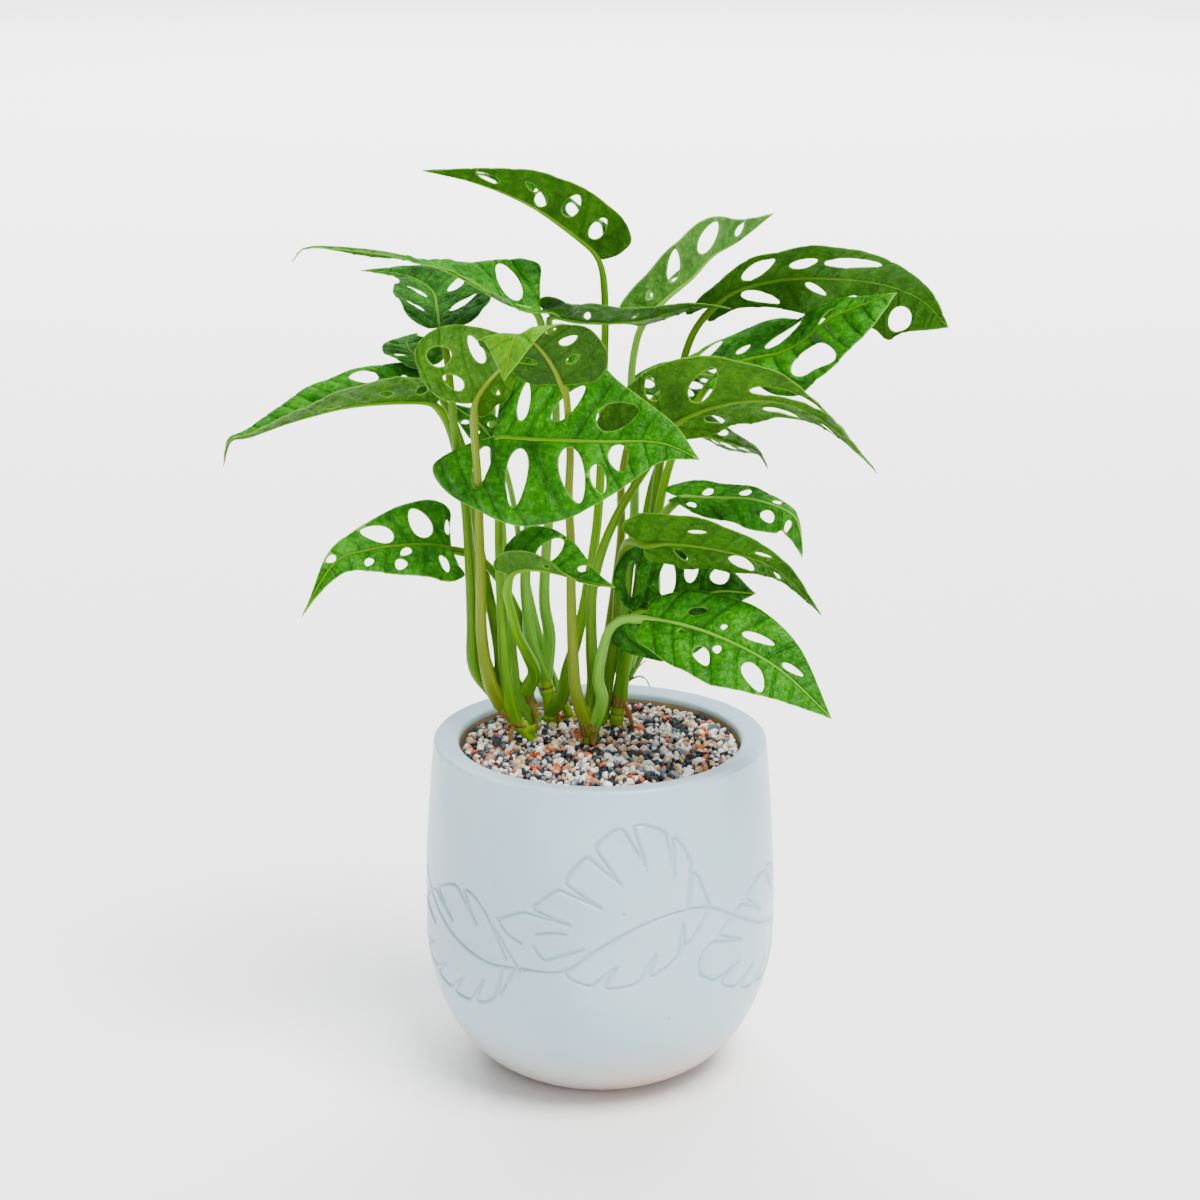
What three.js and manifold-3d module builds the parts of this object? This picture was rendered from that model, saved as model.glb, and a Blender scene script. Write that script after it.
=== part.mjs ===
// Potted swiss cheese vine: a glazed pot, soil, gravel, seven short stems and their perforated leaves.
// Millimetres, +Z up. The origin is the centre of the pot's foot, on the surface it stands on.
// The front of the plant faces -Y.
import * as THREE from 'three';
import { mergeVertices } from 'three/addons/utils/BufferGeometryUtils.js';
import Module from 'manifold-3d';

const wasm = await Module();
wasm.setup();

const RADIANS = Math.PI / 180;

// Pot
const POT_HEIGHT = 208.5;
const WIDEST_HEIGHT = 90;
const WIDEST_RADIUS = 106.5;
const FOOT_RADIUS = 45;
const RIM_RADIUS = 100;
const BELLY_EXPONENT = 1.96;
const MOUTH_RADIUS = 84.5;
const LIP_DROP = 1.6;
const WALL = 10;
const FLOOR = 13;
const COLLAR_HEIGHT = 188;
const SHOULDER_HEIGHT = 160;
const POT_LOWER_STEPS = 9;
const POT_UPPER_STEPS = 5;
const POT_SIDES = 36;

// Where the inside turns toward the floor: inset from its widest and height
const CAVITY_TURNS = [[10, 50], [32, 24]];

// Fill
const SEAT_GAP = 0.3;
const SOIL_TOP = 192;
const GRAVEL_EDGE = 201.5;
const GRAVEL_MOUND = 2.8;
const GRAIN_PITCH = 8.5;
const GRAIN_RELIEF = 1.5;

// Leaves
const BLADE_THICKNESS = 0.9;
const BLADE_SEGMENTS = 24;
const RIB_DEPTH = 1.1;
const GRID_STEP = 15;
const GRID_ROWS = 3;
const GRID_SHIFT = 0.37;
const GRID_CLEARANCE = 6.3;
const RIB_STEPS = 9;
const HOLE_SIDES = 6;
const HOLE_NARROWING = 0.25;
const OUTLINE_STEPS = 13;
const PETIOLE_RADIUS = 3.1;
const PETIOLE_THINNING = 0.62;
const PETIOLE_SIDES = 6;
const PETIOLE_STEPS = 9;
const STEM_SIDES = 10;
const STEM_STEPS = 8;

// One half of a blade, from the petiole round to the tip: along the midrib as a share of its length,
// across as a share of the half's width. A negative first number is the lobe behind the petiole.
const HALF_OUTLINE = [
  [0, 0], [-0.5, 0.13], [-1, 0.4], [-0.6, 0.72], [0.1, 0.96], [0.26, 1],
  [0.46, 0.86], [0.64, 0.58], [0.79, 0.31], [0.91, 0.12], [1, 0],
];

// Holes of a half that has no list of its own: along, across, length, width, slant in degrees
const PLAIN_HOLES = [
  [0.1, 0.52, 0.5, 7, 88], [0.27, 0.52, 0.56, 9, 74], [0.45, 0.46, 0.5, 9, 64], [0.62, 0.32, 0.34, 6, 54],
];

const SMALL_HOLES = [[0.2, 0.5, 0.45, 4, 75], [0.5, 0.45, 0.4, 4, 65]];

// Stems: their radius below and above, and their path from inside the soil up
const STEMS = [
  { name: 'stem_1', radius: [4.4, 4], path: [[-37, 14, 178], [-42, 8, 203], [-56, 5, 221], [-63, 6, 232],
      [-67, 7, 243]] },
  { name: 'stem_2', radius: [3.4, 2.8], path: [[-40, 36, 178], [-40, 35, 204], [-42, 33, 216],
      [-45, 31, 226]] },
  { name: 'stem_3', radius: [5.4, 4], path: [[-29, 39, 178], [-30, 39, 204], [-31, 38, 217],
      [-34, 38, 232], [-37, 37, 245]] },
  { name: 'stem_4', radius: [3.4, 2.8], path: [[-18, 44, 178], [-19, 45, 204], [-24, 46, 215],
      [-27, 48, 223]] },
  { name: 'stem_5', radius: [5, 4], path: [[-6, 0, 178], [-6, 0, 204], [-7, -3, 217], [-8, -4, 228]] },
  { name: 'stem_6', radius: [3.8, 3.4], path: [[1, 36, 178], [1, 36, 204], [1, 31, 215], [2, 28, 227]] },
  { name: 'stem_7', radius: [4.6, 4], path: [[10, 34, 178], [10, 34, 204], [13, 33, 226], [17, 33, 244],
      [20, 33, 260]] },
];

// Every leaf: its midrib from base to tip and the side its upper face looks to. Then for each half the
// width, the lift out of the flat at base and tip and the curl of the outer edge in degrees, the lobe
// behind the petiole as a share of the length, and how much it narrows to the tip. Left is as seen from
// the petiole. The petiole leaves its stem at the joint's height and passes through its points.
const LEAVES = [
  {
    name: 'leaf_01', midrib: [[2, 22, 492], [-14, 18, 506], [-40, 10, 525], [-71, 2, 539], [-100, -6, 547]],
    up: [0.1, 0.15, 1], left: [29, 60, 45, -8, 0.04], right: [25, 58, 30, 0, 0.02],
    holesLeft: [[0.13, 0.45, 0.56, 8, 80], [0.3, 0.5, 0.56, 9, 78], [0.46, 0.4, 0.36, 7, 75],
      [0.6, 0.4, 0.26, 5, 50], [0.72, 0.2, 0.24, 4, 20]],
    holesRight: [[0.2, 0.5, 0.5, 7, 80], [0.4, 0.45, 0.5, 7, 70], [0.62, 0.3, 0.3, 5, 60]],
    stem: 'stem_3', joint: 210,
    petiole: [[-23, 29, 223], [-20, 26, 240], [-14, 22, 262], [-8, 20, 292], [-1, 23, 342], [2, 28, 414],
      [3, 25, 465]],
  },
  {
    name: 'leaf_02', up: [0.2, 0.28, 0.96], left: [26, -8, -12, 0, 0.04],
      right: [42, 66, -55, 0, 0.06, 0.9],
    midrib: [[-34, 5, 465], [-52, -2, 470], [-84, -14, 490], [-115, -25, 502], [-149, -38, 508],
      [-164, -44, 508], [-171, -46, 501]],
    holesRight: [[0.06, 0.52, 0.66, 11, 85], [0.22, 0.55, 0.6, 11, 65], [0.42, 0.35, 0.3, 5, 60]],
    stem: 'stem_3', joint: 231,
    petiole: [[-42, 32, 256], [-44, 30, 277], [-45, 29, 303], [-40, 24, 363], [-35, 18, 398],
      [-33, 12, 438]],
  },
  {
    name: 'leaf_03', midrib: [[-93, 8, 455], [-96, 35, 461], [-101, 65, 467], [-118, 85, 473],
      [-146, 95, 475]],
    up: [0.1, -0.5, 0.85], left: [28, 28, 10, 0, 0.1], right: [34, 28, 10, 0, 0.1],
    holesLeft: [[0.15, 0.55, 0.5, 7, 80], [0.42, 0.45, 0.65, 9, 45]],
    holesRight: [[0.2, 0.48, 0.6, 9, 60], [0.48, 0.45, 0.5, 7, 50]],
    stem: 'stem_1', joint: 232,
    petiole: [[-75, -2, 252], [-76, -1, 280], [-77, -3, 317], [-79, -5, 354], [-84, -8, 397],
      [-86, -7, 420],
      [-89, 0, 444]],
  },
  {
    name: 'leaf_04', up: [0.1, 0.28, 0.96], left: [30, 30, 12, 0, 0], right: [36, 40, 12, 0, 0, 0.3],
    midrib: [[-95, 11, 412], [-118, 2, 416], [-147, -8, 416], [-176, -18, 410], [-200, -27, 402],
      [-211, -31, 396],
      [-216, -32, 382]],
    holesLeft: [[0.1, 0.5, 0.4, 6, 85], [0.24, 0.3, 0.3, 6, 30], [0.46, 0.2, 0.35, 4, 20]],
    holesRight: [[0.1, 0.45, 0.45, 8, 85], [0.3, 0.68, 0.48, 12, 50], [0.38, 0.26, 0.28, 6, 60]],
    stem: 'stem_1', joint: 240,
    petiole: [[-72, 18, 258], [-75, 18, 288], [-78, 16, 325], [-82, 15, 362], [-88, 13, 392]],
  },
  {
    name: 'leaf_05', up: [0, 0.95, -0.1], left: [22, 55, 40, 0, 0.1], right: [44, 2, 0, 12, 0.16],
    midrib: [[-71, -46, 421], [-65, -44, 430], [-57, -39, 438], [-48, -32, 444], [-38, -24, 448]],
    holesLeft: [[0.3, 0.45, 0.4, 4, 75]],
    holesRight: [[0.2, 0.7, 0.3, 8, 100], [0.08, 0.36, 0.3, 7, 90], [0.46, 0.4, 0.4, 6, 75]],
    stem: 'stem_1', joint: 226, radius: 3.4,
    petiole: [[-66, -10, 246], [-70, -8, 272], [-70, -14, 303], [-70, -21, 342], [-70, -30, 372],
      [-71, -41, 400]],
  },
  {
    name: 'leaf_06', midrib: [[-21, -58, 434], [-27, -66, 448], [-36, -76, 461], [-46, -92, 467],
      [-52, -104, 445]],
    up: [0.3, 0.85, 0.4], left: [29, 10, 0, 0, 0.02, -0.7], right: [27, 10, 0, 0, 0, -1],
    holesLeft: [[0.2, 0.4, 0.3, 4, 70], [0.36, 0.5, 0.36, 6, 75], [0.55, 0.4, 0.25, 4, 60]],
    holesRight: [[0.25, 0.5, 0.5, 6, 75]],
    stem: 'stem_5', joint: 212, radius: 3.2,
    petiole: [[-14, -8, 236], [-16, -8, 260], [-17, -8, 297], [-17, -12, 329], [-18, -24, 361],
      [-17, -33, 388],
      [-18, -38, 410], [-19, -46, 426]],
  },
  {
    name: 'leaf_07', midrib: [[-61, -28, 398], [-34, -45, 400], [0, -60, 402], [33, -72, 404],
      [55, -82, 397]],
    up: [0, -0.85, 0.53], left: [54, 12, 5, 0, 0], right: [50, -8, 5, -15, 0.3],
    holesLeft: [[0.13, 0.4, 0.42, 8, 90], [0.36, 0.4, 0.5, 10, 50], [0.6, 0.3, 0.45, 13, 15],
      [0.3, 0.78, 0.25, 6, 60]],
    holesRight: [[-0.04, 0.37, 0.5, 11, 100], [0.16, 0.46, 0.68, 14, 88], [0.43, 0.4, 0.68, 14, 68],
      [0.62, 0.24, 0.34, 7, 60]],
    stem: 'stem_1', joint: 216,
    petiole: [[-56, -2, 240], [-58, -4, 281], [-59, -10, 320], [-59, -18, 358], [-61, -25, 383]],
  },
  {
    name: 'leaf_08', midrib: [[33, 45, 461], [53, 55, 475], [67, 64, 488], [83, 73, 496], [104, 84, 511]],
    up: [-0.6, 0.28, 0.75], left: [31, 30, 10, 0, 0.06], right: [36, 48, 30, 0, 0.3],
    holesRight: [[0.03, 0.32, 0.2, 4, 60], [0.22, 0.5, 0.62, 9, 60], [0.5, 0.42, 0.5, 10, 50],
      [0.72, 0.22, 0.26, 5, 35]],
    stem: 'stem_7', joint: 234,
    petiole: [[12, 40, 256], [15, 43, 275], [17, 45, 295], [20, 45, 318], [21, 44, 355], [19, 46, 392],
      [19, 46, 422], [24, 45, 448]],
  },
  {
    name: 'leaf_09', midrib: [[66, 18, 467], [80, 20, 475], [112, 18, 482], [155, 12, 479], [202, 6, 455]],
    up: [-0.1, 0.65, 0.75], left: [30, 0, -45, 0, 0.05, -0.9], right: [32, -6, 0, 0, 0.12, -0.8],
    holesLeft: [[0.16, 0.42, 0.6, 11, 62], [0.36, 0.36, 0.5, 9, 40], [0.58, 0.33, 0.4, 11, 30],
      [0.78, 0.19, 0.26, 5, 15]],
    holesRight: [[0.2, 0.52, 0.6, 13, 45], [0.42, 0.5, 0.42, 8, 45], [0.66, 0.36, 0.5, 9, 178]],
    stem: 'stem_7', joint: 234,
    petiole: [[31, 42, 262], [31, 38, 288], [31, 28, 316], [33, 25, 348], [37, 22, 379], [44, 20, 409],
      [53, 18, 447]],
  },
  {
    name: 'leaf_10', midrib: [[71, 14, 430], [87, 9, 436], [104, 0, 441], [117, -8, 450],
      [132, -18, 465], [166, -34, 482]],
    up: [-0.25, -0.3, 1], left: [38, 4, 4, 0, 0.3], right: [35, -19, -8, 0, 0.1, -1],
    holesLeft: [[-0.1, 0.5, 0.4, 6, 45], [0.1, 0.35, 0.24, 6, 45], [0.27, 0.56, 0.66, 9, 50],
      [0.54, 0.3, 0.35, 7, 30]],
    holesRight: [[0.08, 0.5, 0.4, 6, 80], [0.48, 0.4, 0.76, 18, 22]],
    stem: 'stem_7', joint: 248,
    petiole: [[32, 32, 268], [33, 23, 290], [33, 15, 320], [36, 13, 351], [44, 12, 381], [58, 13, 412]],
  },
  {
    name: 'leaf_11', midrib: [[-31, 10, 463], [-12, 8, 458], [23, 2, 460], [52, -4, 469], [75, -8, 469]],
    up: [0, 0.28, 0.96], left: [34, 10, 0, 0, 0.04], right: [28, 18, 5, 0, 0.04],
    holesRight: [[0.24, 0.4, 0.4, 4, 75], [0.5, 0.35, 0.34, 3, 60]],
    stem: 'stem_3', joint: 232,
    petiole: [[-31, 40, 257], [-34, 39, 282], [-32, 37, 320], [-28, 33, 358], [-26, 28, 396],
      [-28, 18, 444]],
  },
  {
    name: 'leaf_12', midrib: [[41, -30, 406], [63, -40, 418], [90, -50, 424], [112, -58, 421],
      [133, -66, 409], [155, -72, 387]],
    up: [-0.1, 0.5, 0.85], left: [30, -8, -4, 0, 0.05], right: [45, 38, -6, 0, 0.3],
    holesLeft: [[0.15, 0.5, 0.5, 8, 70], [0.38, 0.6, 0.6, 7, 30], [0.62, 0.3, 0.3, 5, 40]],
    holesRight: [[0.03, 0.65, 0.45, 9, 60], [0.22, 0.45, 0.62, 9, 50], [0.5, 0.35, 0.85, 9, 18]],
    stem: 'stem_5', joint: 216, radius: 3.4,
    petiole: [[-4, 0, 240], [-5, -2, 262], [-5, -4, 294], [-1, -6, 317], [6, -9, 338], [16, -14, 359],
      [32, -22, 386]],
  },
  {
    name: 'leaf_13', midrib: [[50, 34, 388], [64, 30, 386], [80, 25, 382], [93, 20, 379], [100, 16, 369]],
    up: [0, 0.5, 0.85], left: [24, 10, 0, 0, 0.05], right: [24, 20, 0, 0, 0.05],
    holesRight: [[0.15, 0.45, 0.4, 5, 70], [0.42, 0.45, 0.5, 6, 55]],
    stem: 'stem_7', joint: 251,
    petiole: [[22, 44, 273], [24, 44, 292], [26, 39, 320], [31, 36, 352], [38, 36, 374], [44, 35, 383]],
  },
  {
    name: 'leaf_14', midrib: [[46, 0, 356], [67, -4, 356], [90, -8, 356], [111, -12, 349],
      [117, -13, 338], [119, -14, 322]],
    up: [0, 0.1, 1], left: [24, 18, 5, 0, 0.1], right: [21, -10, -60, 0, 0.05],
    holesLeft: [[0.17, 0.4, 0.5, 6, 80], [0.4, 0.45, 0.45, 6, 70], [0.6, 0.35, 0.35, 4, 60]],
    holesRight: [[0.1, 0.55, 0.3, 5, 50], [0.32, 0.45, 0.45, 6, 70], [0.56, 0.4, 0.42, 7, 40],
      [0.76, 0.25, 0.25, 4, 20]],
    stem: 'stem_7', joint: 242,
    petiole: [[21, 22, 260], [27, 14, 288], [28, 7, 309], [33, 3, 337]],
  },
  {
    name: 'leaf_15', midrib: [[27, -32, 336], [43, -38, 338], [76, -48, 335], [103, -56, 326],
      [127, -60, 301]],
    up: [0, 0.6, 0.8], left: [27, -8, -5, 0, 0.05], right: [32, 14, 5, 0, 0.08],
    holesLeft: [[0.16, 0.45, 0.45, 6, 70], [0.46, 0.42, 0.6, 14, 55], [0.7, 0.25, 0.25, 4, 40]],
    holesRight: [[0.28, 0.5, 0.28, 3, 20], [0.5, 0.3, 0.3, 4, 30]],
    stem: 'stem_6', joint: 212,
    petiole: [[5, 28, 236], [8, 18, 257], [10, 9, 278], [11, 6, 299], [13, 3, 318], [17, -10, 331]],
  },
  {
    name: 'leaf_16', midrib: [[20, -22, 291], [35, -24, 295], [52, -26, 301], [70, -28, 306],
      [91, -30, 305]],
    up: [0, -0.88, 0.47], left: [37, 0, 0, 0, 0.13], right: [36, -40, -25, 0, 0.25],
    holesLeft: [[0.03, 0.52, 0.54, 7, 82], [0.3, 0.42, 0.58, 10, 68], [0.5, 0.4, 0.44, 8, 68],
      [0.68, 0.26, 0.28, 5, 55]],
    holesRight: [[0.1, 0.5, 0.4, 5, 80], [0.4, 0.45, 0.4, 6, 65]],
    stem: 'stem_7', joint: 222,
    petiole: [[14, 23, 240], [17, 9, 257], [19, -5, 273]],
  },
  {
    name: 'leaf_17', midrib: [[26, -38, 293], [49, -50, 292], [75, -64, 286], [102, -78, 274],
      [131, -90, 249]],
    up: [0.1, -0.5, 0.85], left: [16, 30, 20, 0, 0, -1], right: [22, -5, 0, 0, 0, -1.2],
    holesLeft: [[0.2, 0.5, 0.3, 4, 75], [0.37, 0.25, 0.15, 3, 40], [0.53, 0.35, 0.6, 4, 12],
      [0.74, 0.2, 0.24, 2.5, 15]],
    holesRight: [[0.2, 0.18, 0.14, 3, 20], [0.33, 0.55, 0.46, 8, 40], [0.42, 0.2, 0.16, 4, 50],
      [0.6, 0.36, 0.5, 9, 30]],
    stem: 'stem_5', joint: 208,
    petiole: [[1, -10, 232], [-1, -12, 246], [0, -17, 260], [4, -24, 278], [9, -30, 287], [16, -34, 291]],
  },
  {
    name: 'leaf_18', midrib: [[-89, 22, 319], [-99, 14, 323], [-115, 2, 326], [-136, -10, 326],
      [-155, -22, 321], [-174, -34, 292]],
    up: [0.1, -0.3, 0.9], left: [28, -15, -10, 0, 0, 0.5], right: [34, 45, 5, 0, 0, 0.8],
    holesLeft: [[0.12, 0.5, 0.4, 6, 80], [0.3, 0.25, 0.25, 4, 40], [0.46, 0.45, 0.35, 6, 60]],
    holesRight: [[0.02, 0.4, 0.3, 4, 90], [0.2, 0.48, 0.64, 13, 70], [0.44, 0.44, 0.6, 8, 25],
      [0.66, 0.25, 0.4, 5, 15]],
    stem: 'stem_3', joint: 222,
    petiole: [[-40, 47, 238], [-43, 44, 250], [-47, 38, 264], [-53, 30, 282], [-61, 27, 298],
      [-74, 26, 312]],
  },
  {
    name: 'leaf_19', midrib: [[-53, -31, 317], [-42, -37, 322], [-25, -42, 321], [-9, -46, 317],
      [9, -50, 315]],
    up: [0, -0.5, 0.85], left: [28, 20, 10, 0, 0.08], right: [15, 110, 20, 0, 0.1],
    holesLeft: [[0.36, 0.5, 0.66, 11, 60], [0.68, 0.3, 0.3, 4, 30]],
    holesRight: [[0.4, 0.45, 0.4, 3, 60]],
    stem: 'stem_2', joint: 226,
    petiole: [[-40, 23, 240], [-44, 8, 257], [-49, -6, 273], [-52, -17, 290], [-54, -26, 304]],
  },
  {
    name: 'leaf_20', midrib: [[-65, 34, 413], [-52, 40, 420], [-35, 46, 424], [-15, 52, 424], [0, 56, 416]],
    up: [0, 0.4, 0.9], left: [28, 10, 0, 0, 0.05], right: [28, 20, 0, 0, 0.05],
    stem: 'stem_2', joint: 204,
    petiole: [[-51, 32, 226], [-53, 25, 244], [-54, 18, 264], [-56, 14, 289], [-58, 20, 320],
      [-60, 28, 350], [-64, 33, 390]],
  },
  {
    name: 'leaf_21', midrib: [[-105, 36, 428], [-113, 52, 432], [-117, 70, 434], [-116, 90, 435],
      [-112, 102, 435]],
    up: [0, -0.4, 0.9], left: [17, 20, 5, 0, 0.1], right: [17, 15, 5, 0, 0.1],
    holesLeft: SMALL_HOLES, holesRight: SMALL_HOLES,
    stem: 'stem_1', joint: 228,
    petiole: [[-60, 14, 252], [-67, 32, 284], [-74, 40, 320], [-78, 40, 357], [-86, 38, 388],
      [-98, 35, 415]],
  },
  {
    name: 'leaf_22', midrib: [[32, 40, 408], [46, 50, 415], [63, 58, 417], [81, 64, 411]],
    up: [0, -0.2, 1], left: [24, 10, 0, 0, 0.05], right: [24, -5, 0, 0, 0.05],
    stem: 'stem_6', joint: 206,
    petiole: [[3, 42, 228], [6, 47, 260], [10, 51, 290], [13, 51, 320], [13, 46, 354], [19, 38, 385]],
  },
  {
    name: 'leaf_23', midrib: [[-64, 2, 391], [-71, 8, 398], [-80, 14, 403], [-89, 20, 408]],
    up: [0, -0.4, 0.9], left: [12, 10, 0, 0, 0.05], right: [12, 10, 0, 0, 0.05],
    holesLeft: SMALL_HOLES, holesRight: SMALL_HOLES,
    stem: 'stem_4', joint: 214, radius: 2.4,
    petiole: [[-32, 53, 234], [-38, 56, 254], [-44, 52, 284], [-49, 42, 318], [-52, 24, 348],
      [-57, 10, 374]],
  },
];

const YOUNG_LEAF = 'leaf_06';

const COLOURS = {
  pot: 0xc6d3d7, soil: 0x3b2a1e, gravel: 0xb9b2a6, stem: 0x7fae2c, leaf: 0x3f8a1a, youngLeaf: 0x86c81c,
};

// Points of a curve through the given ones, evenly spaced, as a pair of positions and directions.
function sampleCurve(points, steps) {
  const curve = new THREE.CatmullRomCurve3(points.map((p) => new THREE.Vector3(...p)), false,
      'catmullrom', 0.5);
  const samples = [];
  for (let i = 0; i <= steps; i += 1) {
    samples.push({ at: curve.getPointAt(i / steps), along: curve.getTangentAt(i / steps) });
  }
  return { samples, length: curve.getLength() };
}

// A closed solid from positions and triangles.
function solidOf(positions, triangles) {
  return new wasm.Manifold(new wasm.Mesh({
    numProp: 3,
    vertProperties: new Float32Array(positions.flatMap((p) => [p.x, p.y, p.z])),
    triVerts: new Uint32Array(triangles.flat()),
  }));
}

function solidOfGeometry(source) {
  const bare = source.index ? source.toNonIndexed() : source.clone();
  bare.deleteAttribute('normal');
  bare.deleteAttribute('uv');
  const merged = mergeVertices(bare, 1e-4);
  return new wasm.Manifold(new wasm.Mesh({
    numProp: 3,
    vertProperties: new Float32Array(merged.attributes.position.array),
    triVerts: new Uint32Array(merged.index.array),
  }));
}

function geometryOf(solid) {
  const mesh = solid.getMesh();
  const geometry = new THREE.BufferGeometry();
  const positions = new Float32Array(mesh.numVert * 3);
  for (let i = 0; i < mesh.numVert; i += 1) {
    positions.set(mesh.vertProperties.subarray(i * mesh.numProp, i * mesh.numProp + 3), i * 3);
  }
  geometry.setAttribute('position', new THREE.BufferAttribute(positions, 3));
  geometry.setIndex(new THREE.BufferAttribute(new Uint32Array(mesh.triVerts), 1));
  geometry.computeVertexNormals();
  return geometry;
}

// A round tube along a path, thinning from the first radius to the second, closed at both ends.
function taperedTube(points, startRadius, endRadius, sides, steps) {
  const { samples } = sampleCurve(points, steps);
  const positions = [];
  const triangles = [];
  let side = new THREE.Vector3(0, -1, 0);
  samples.forEach(({ at, along }, ring) => {
    side = side.addScaledVector(along, -side.dot(along)).normalize();
    const across = along.clone().cross(side);
    const radius = THREE.MathUtils.lerp(startRadius, endRadius, ring / steps);
    for (let k = 0; k < sides; k += 1) {
      const angle = (2 * Math.PI * k) / sides;
      positions.push(at.clone()
        .addScaledVector(side, radius * Math.cos(angle))
        .addScaledVector(across, radius * Math.sin(angle)));
    }
    side = side.clone();
  });
  for (let ring = 0; ring < steps; ring += 1) {
    for (let k = 0; k < sides; k += 1) {
      const a = ring * sides + k;
      const b = ring * sides + ((k + 1) % sides);
      triangles.push([a, b, b + sides], [a, b + sides, a + sides]);
    }
  }
  for (let k = 1; k < sides - 1; k += 1) {
    const top = steps * sides;
    triangles.push([0, k + 1, k], [top, top + k, top + k + 1]);
  }
  return solidOf(positions, triangles);
}

// The blade in space: bends a flat point, along and across the midrib, onto the leaf's form.
function bladeForm(leaf) {
  const steps = BLADE_SEGMENTS;
  const { samples, length } = sampleCurve(leaf.midrib, steps);
  let up = new THREE.Vector3(...leaf.up);
  const frames = samples.map(({ at, along }) => {
    up = up.clone().addScaledVector(along, -up.dot(along)).normalize();
    return { at, along, up };
  });
  const halves = { 1: leaf.left, [-1]: leaf.right };

  function frameAt(x) {
    const place = THREE.MathUtils.clamp(x / length, 0, 1) * steps;
    const index = Math.min(Math.floor(place), steps - 1);
    const share = place - index;
    const from = frames[index];
    const to = frames[index + 1];
    const at = from.at.clone().lerp(to.at, share);
    const along = from.along.clone().lerp(to.along, share).normalize();
    const upward = from.up.clone().lerp(to.up, share).normalize();
    if (x < 0) at.addScaledVector(along, x);
    return { at, along, up: upward, left: upward.clone().cross(along) };
  }

  function place(x, y, sideOnRib = 1) {
    const frame = frameAt(x);
    const side = Math.sign(y) || sideOnRib;
    const [width, liftBase, liftTip, curl] = halves[side];
    const lift = THREE.MathUtils.lerp(liftBase, liftTip, THREE.MathUtils.clamp(x / length, 0, 1)) * RADIANS;
    const bend = (curl * RADIANS) / width;
    const reach = Math.abs(y);
    let out = reach * Math.cos(lift);
    let rise = reach * Math.sin(lift);
    if (Math.abs(bend) > 1e-6) {
      out = (Math.sin(lift + bend * reach) - Math.sin(lift)) / bend;
      rise = (Math.cos(lift) - Math.cos(lift + bend * reach)) / bend;
    }
    return frame.at.addScaledVector(frame.left, side * out).addScaledVector(frame.up, rise);
  }

  function normalAt(x, y) {
    const step = 0.5;
    const sides = y === 0 ? [1, -1] : [Math.sign(y)];
    const sum = new THREE.Vector3();
    sides.forEach((side) => {
      const dx = place(x + step, y, side).sub(place(x - step, y, side));
      const dy = place(x, y + side * step, side).sub(place(x, y, side)).multiplyScalar(side);
      sum.add(dx.cross(dy).normalize());
    });
    return sum.normalize();
  }

  return { length, frameAt, place, normalAt };
}

// One half's outline from the petiole to the tip, in flat millimetres.
function halfOutline(length, half, side) {
  const [width, , , , lobe, taper = 0] = half;
  const points = HALF_OUTLINE.map(([along, across]) => new THREE.Vector3(
    length * (along < 0 ? along * lobe : along),
    side * width * across * (1 - taper * Math.max(along, 0)),
    0,
  ));
  const curve = new THREE.CatmullRomCurve3(points, false, 'catmullrom', 0.5);
  return curve.getSpacedPoints(OUTLINE_STEPS).map((p) => new THREE.Vector2(p.x, p.y));
}

function holeOutline(length, half, side, [along, across, share, breadth, slant]) {
  const [fullWidth, , , , , taper = 0] = half;
  const width = fullWidth * (1 - taper * Math.max(along, 0));
  const reach = (share * width) / 2;
  const axis = new THREE.Vector2(Math.cos(slant * RADIANS), side * Math.sin(slant * RADIANS));
  const cross = new THREE.Vector2(-axis.y, axis.x);
  const points = [];
  for (let k = 0; k < HOLE_SIDES; k += 1) {
    const angle = (2 * Math.PI * k) / HOLE_SIDES;
    const narrowing = 1 - HOLE_NARROWING * Math.cos(angle);
    points.push(new THREE.Vector2(along * length, side * across * width)
      .addScaledVector(axis, reach * Math.cos(angle))
      .addScaledVector(cross, (breadth / 2) * Math.sin(angle) * narrowing));
  }
  return points;
}

function isInside(point, ring) {
  let inside = false;
  for (let i = 0, j = ring.length - 1; i < ring.length; j = i, i += 1) {
    const a = ring[i];
    const b = ring[j];
    const isBetween = (a.y > point.y) !== (b.y > point.y);
    if (isBetween && point.x < ((b.x - a.x) * (point.y - a.y)) / (b.y - a.y) + a.x) inside = !inside;
  }
  return inside;
}

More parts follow.
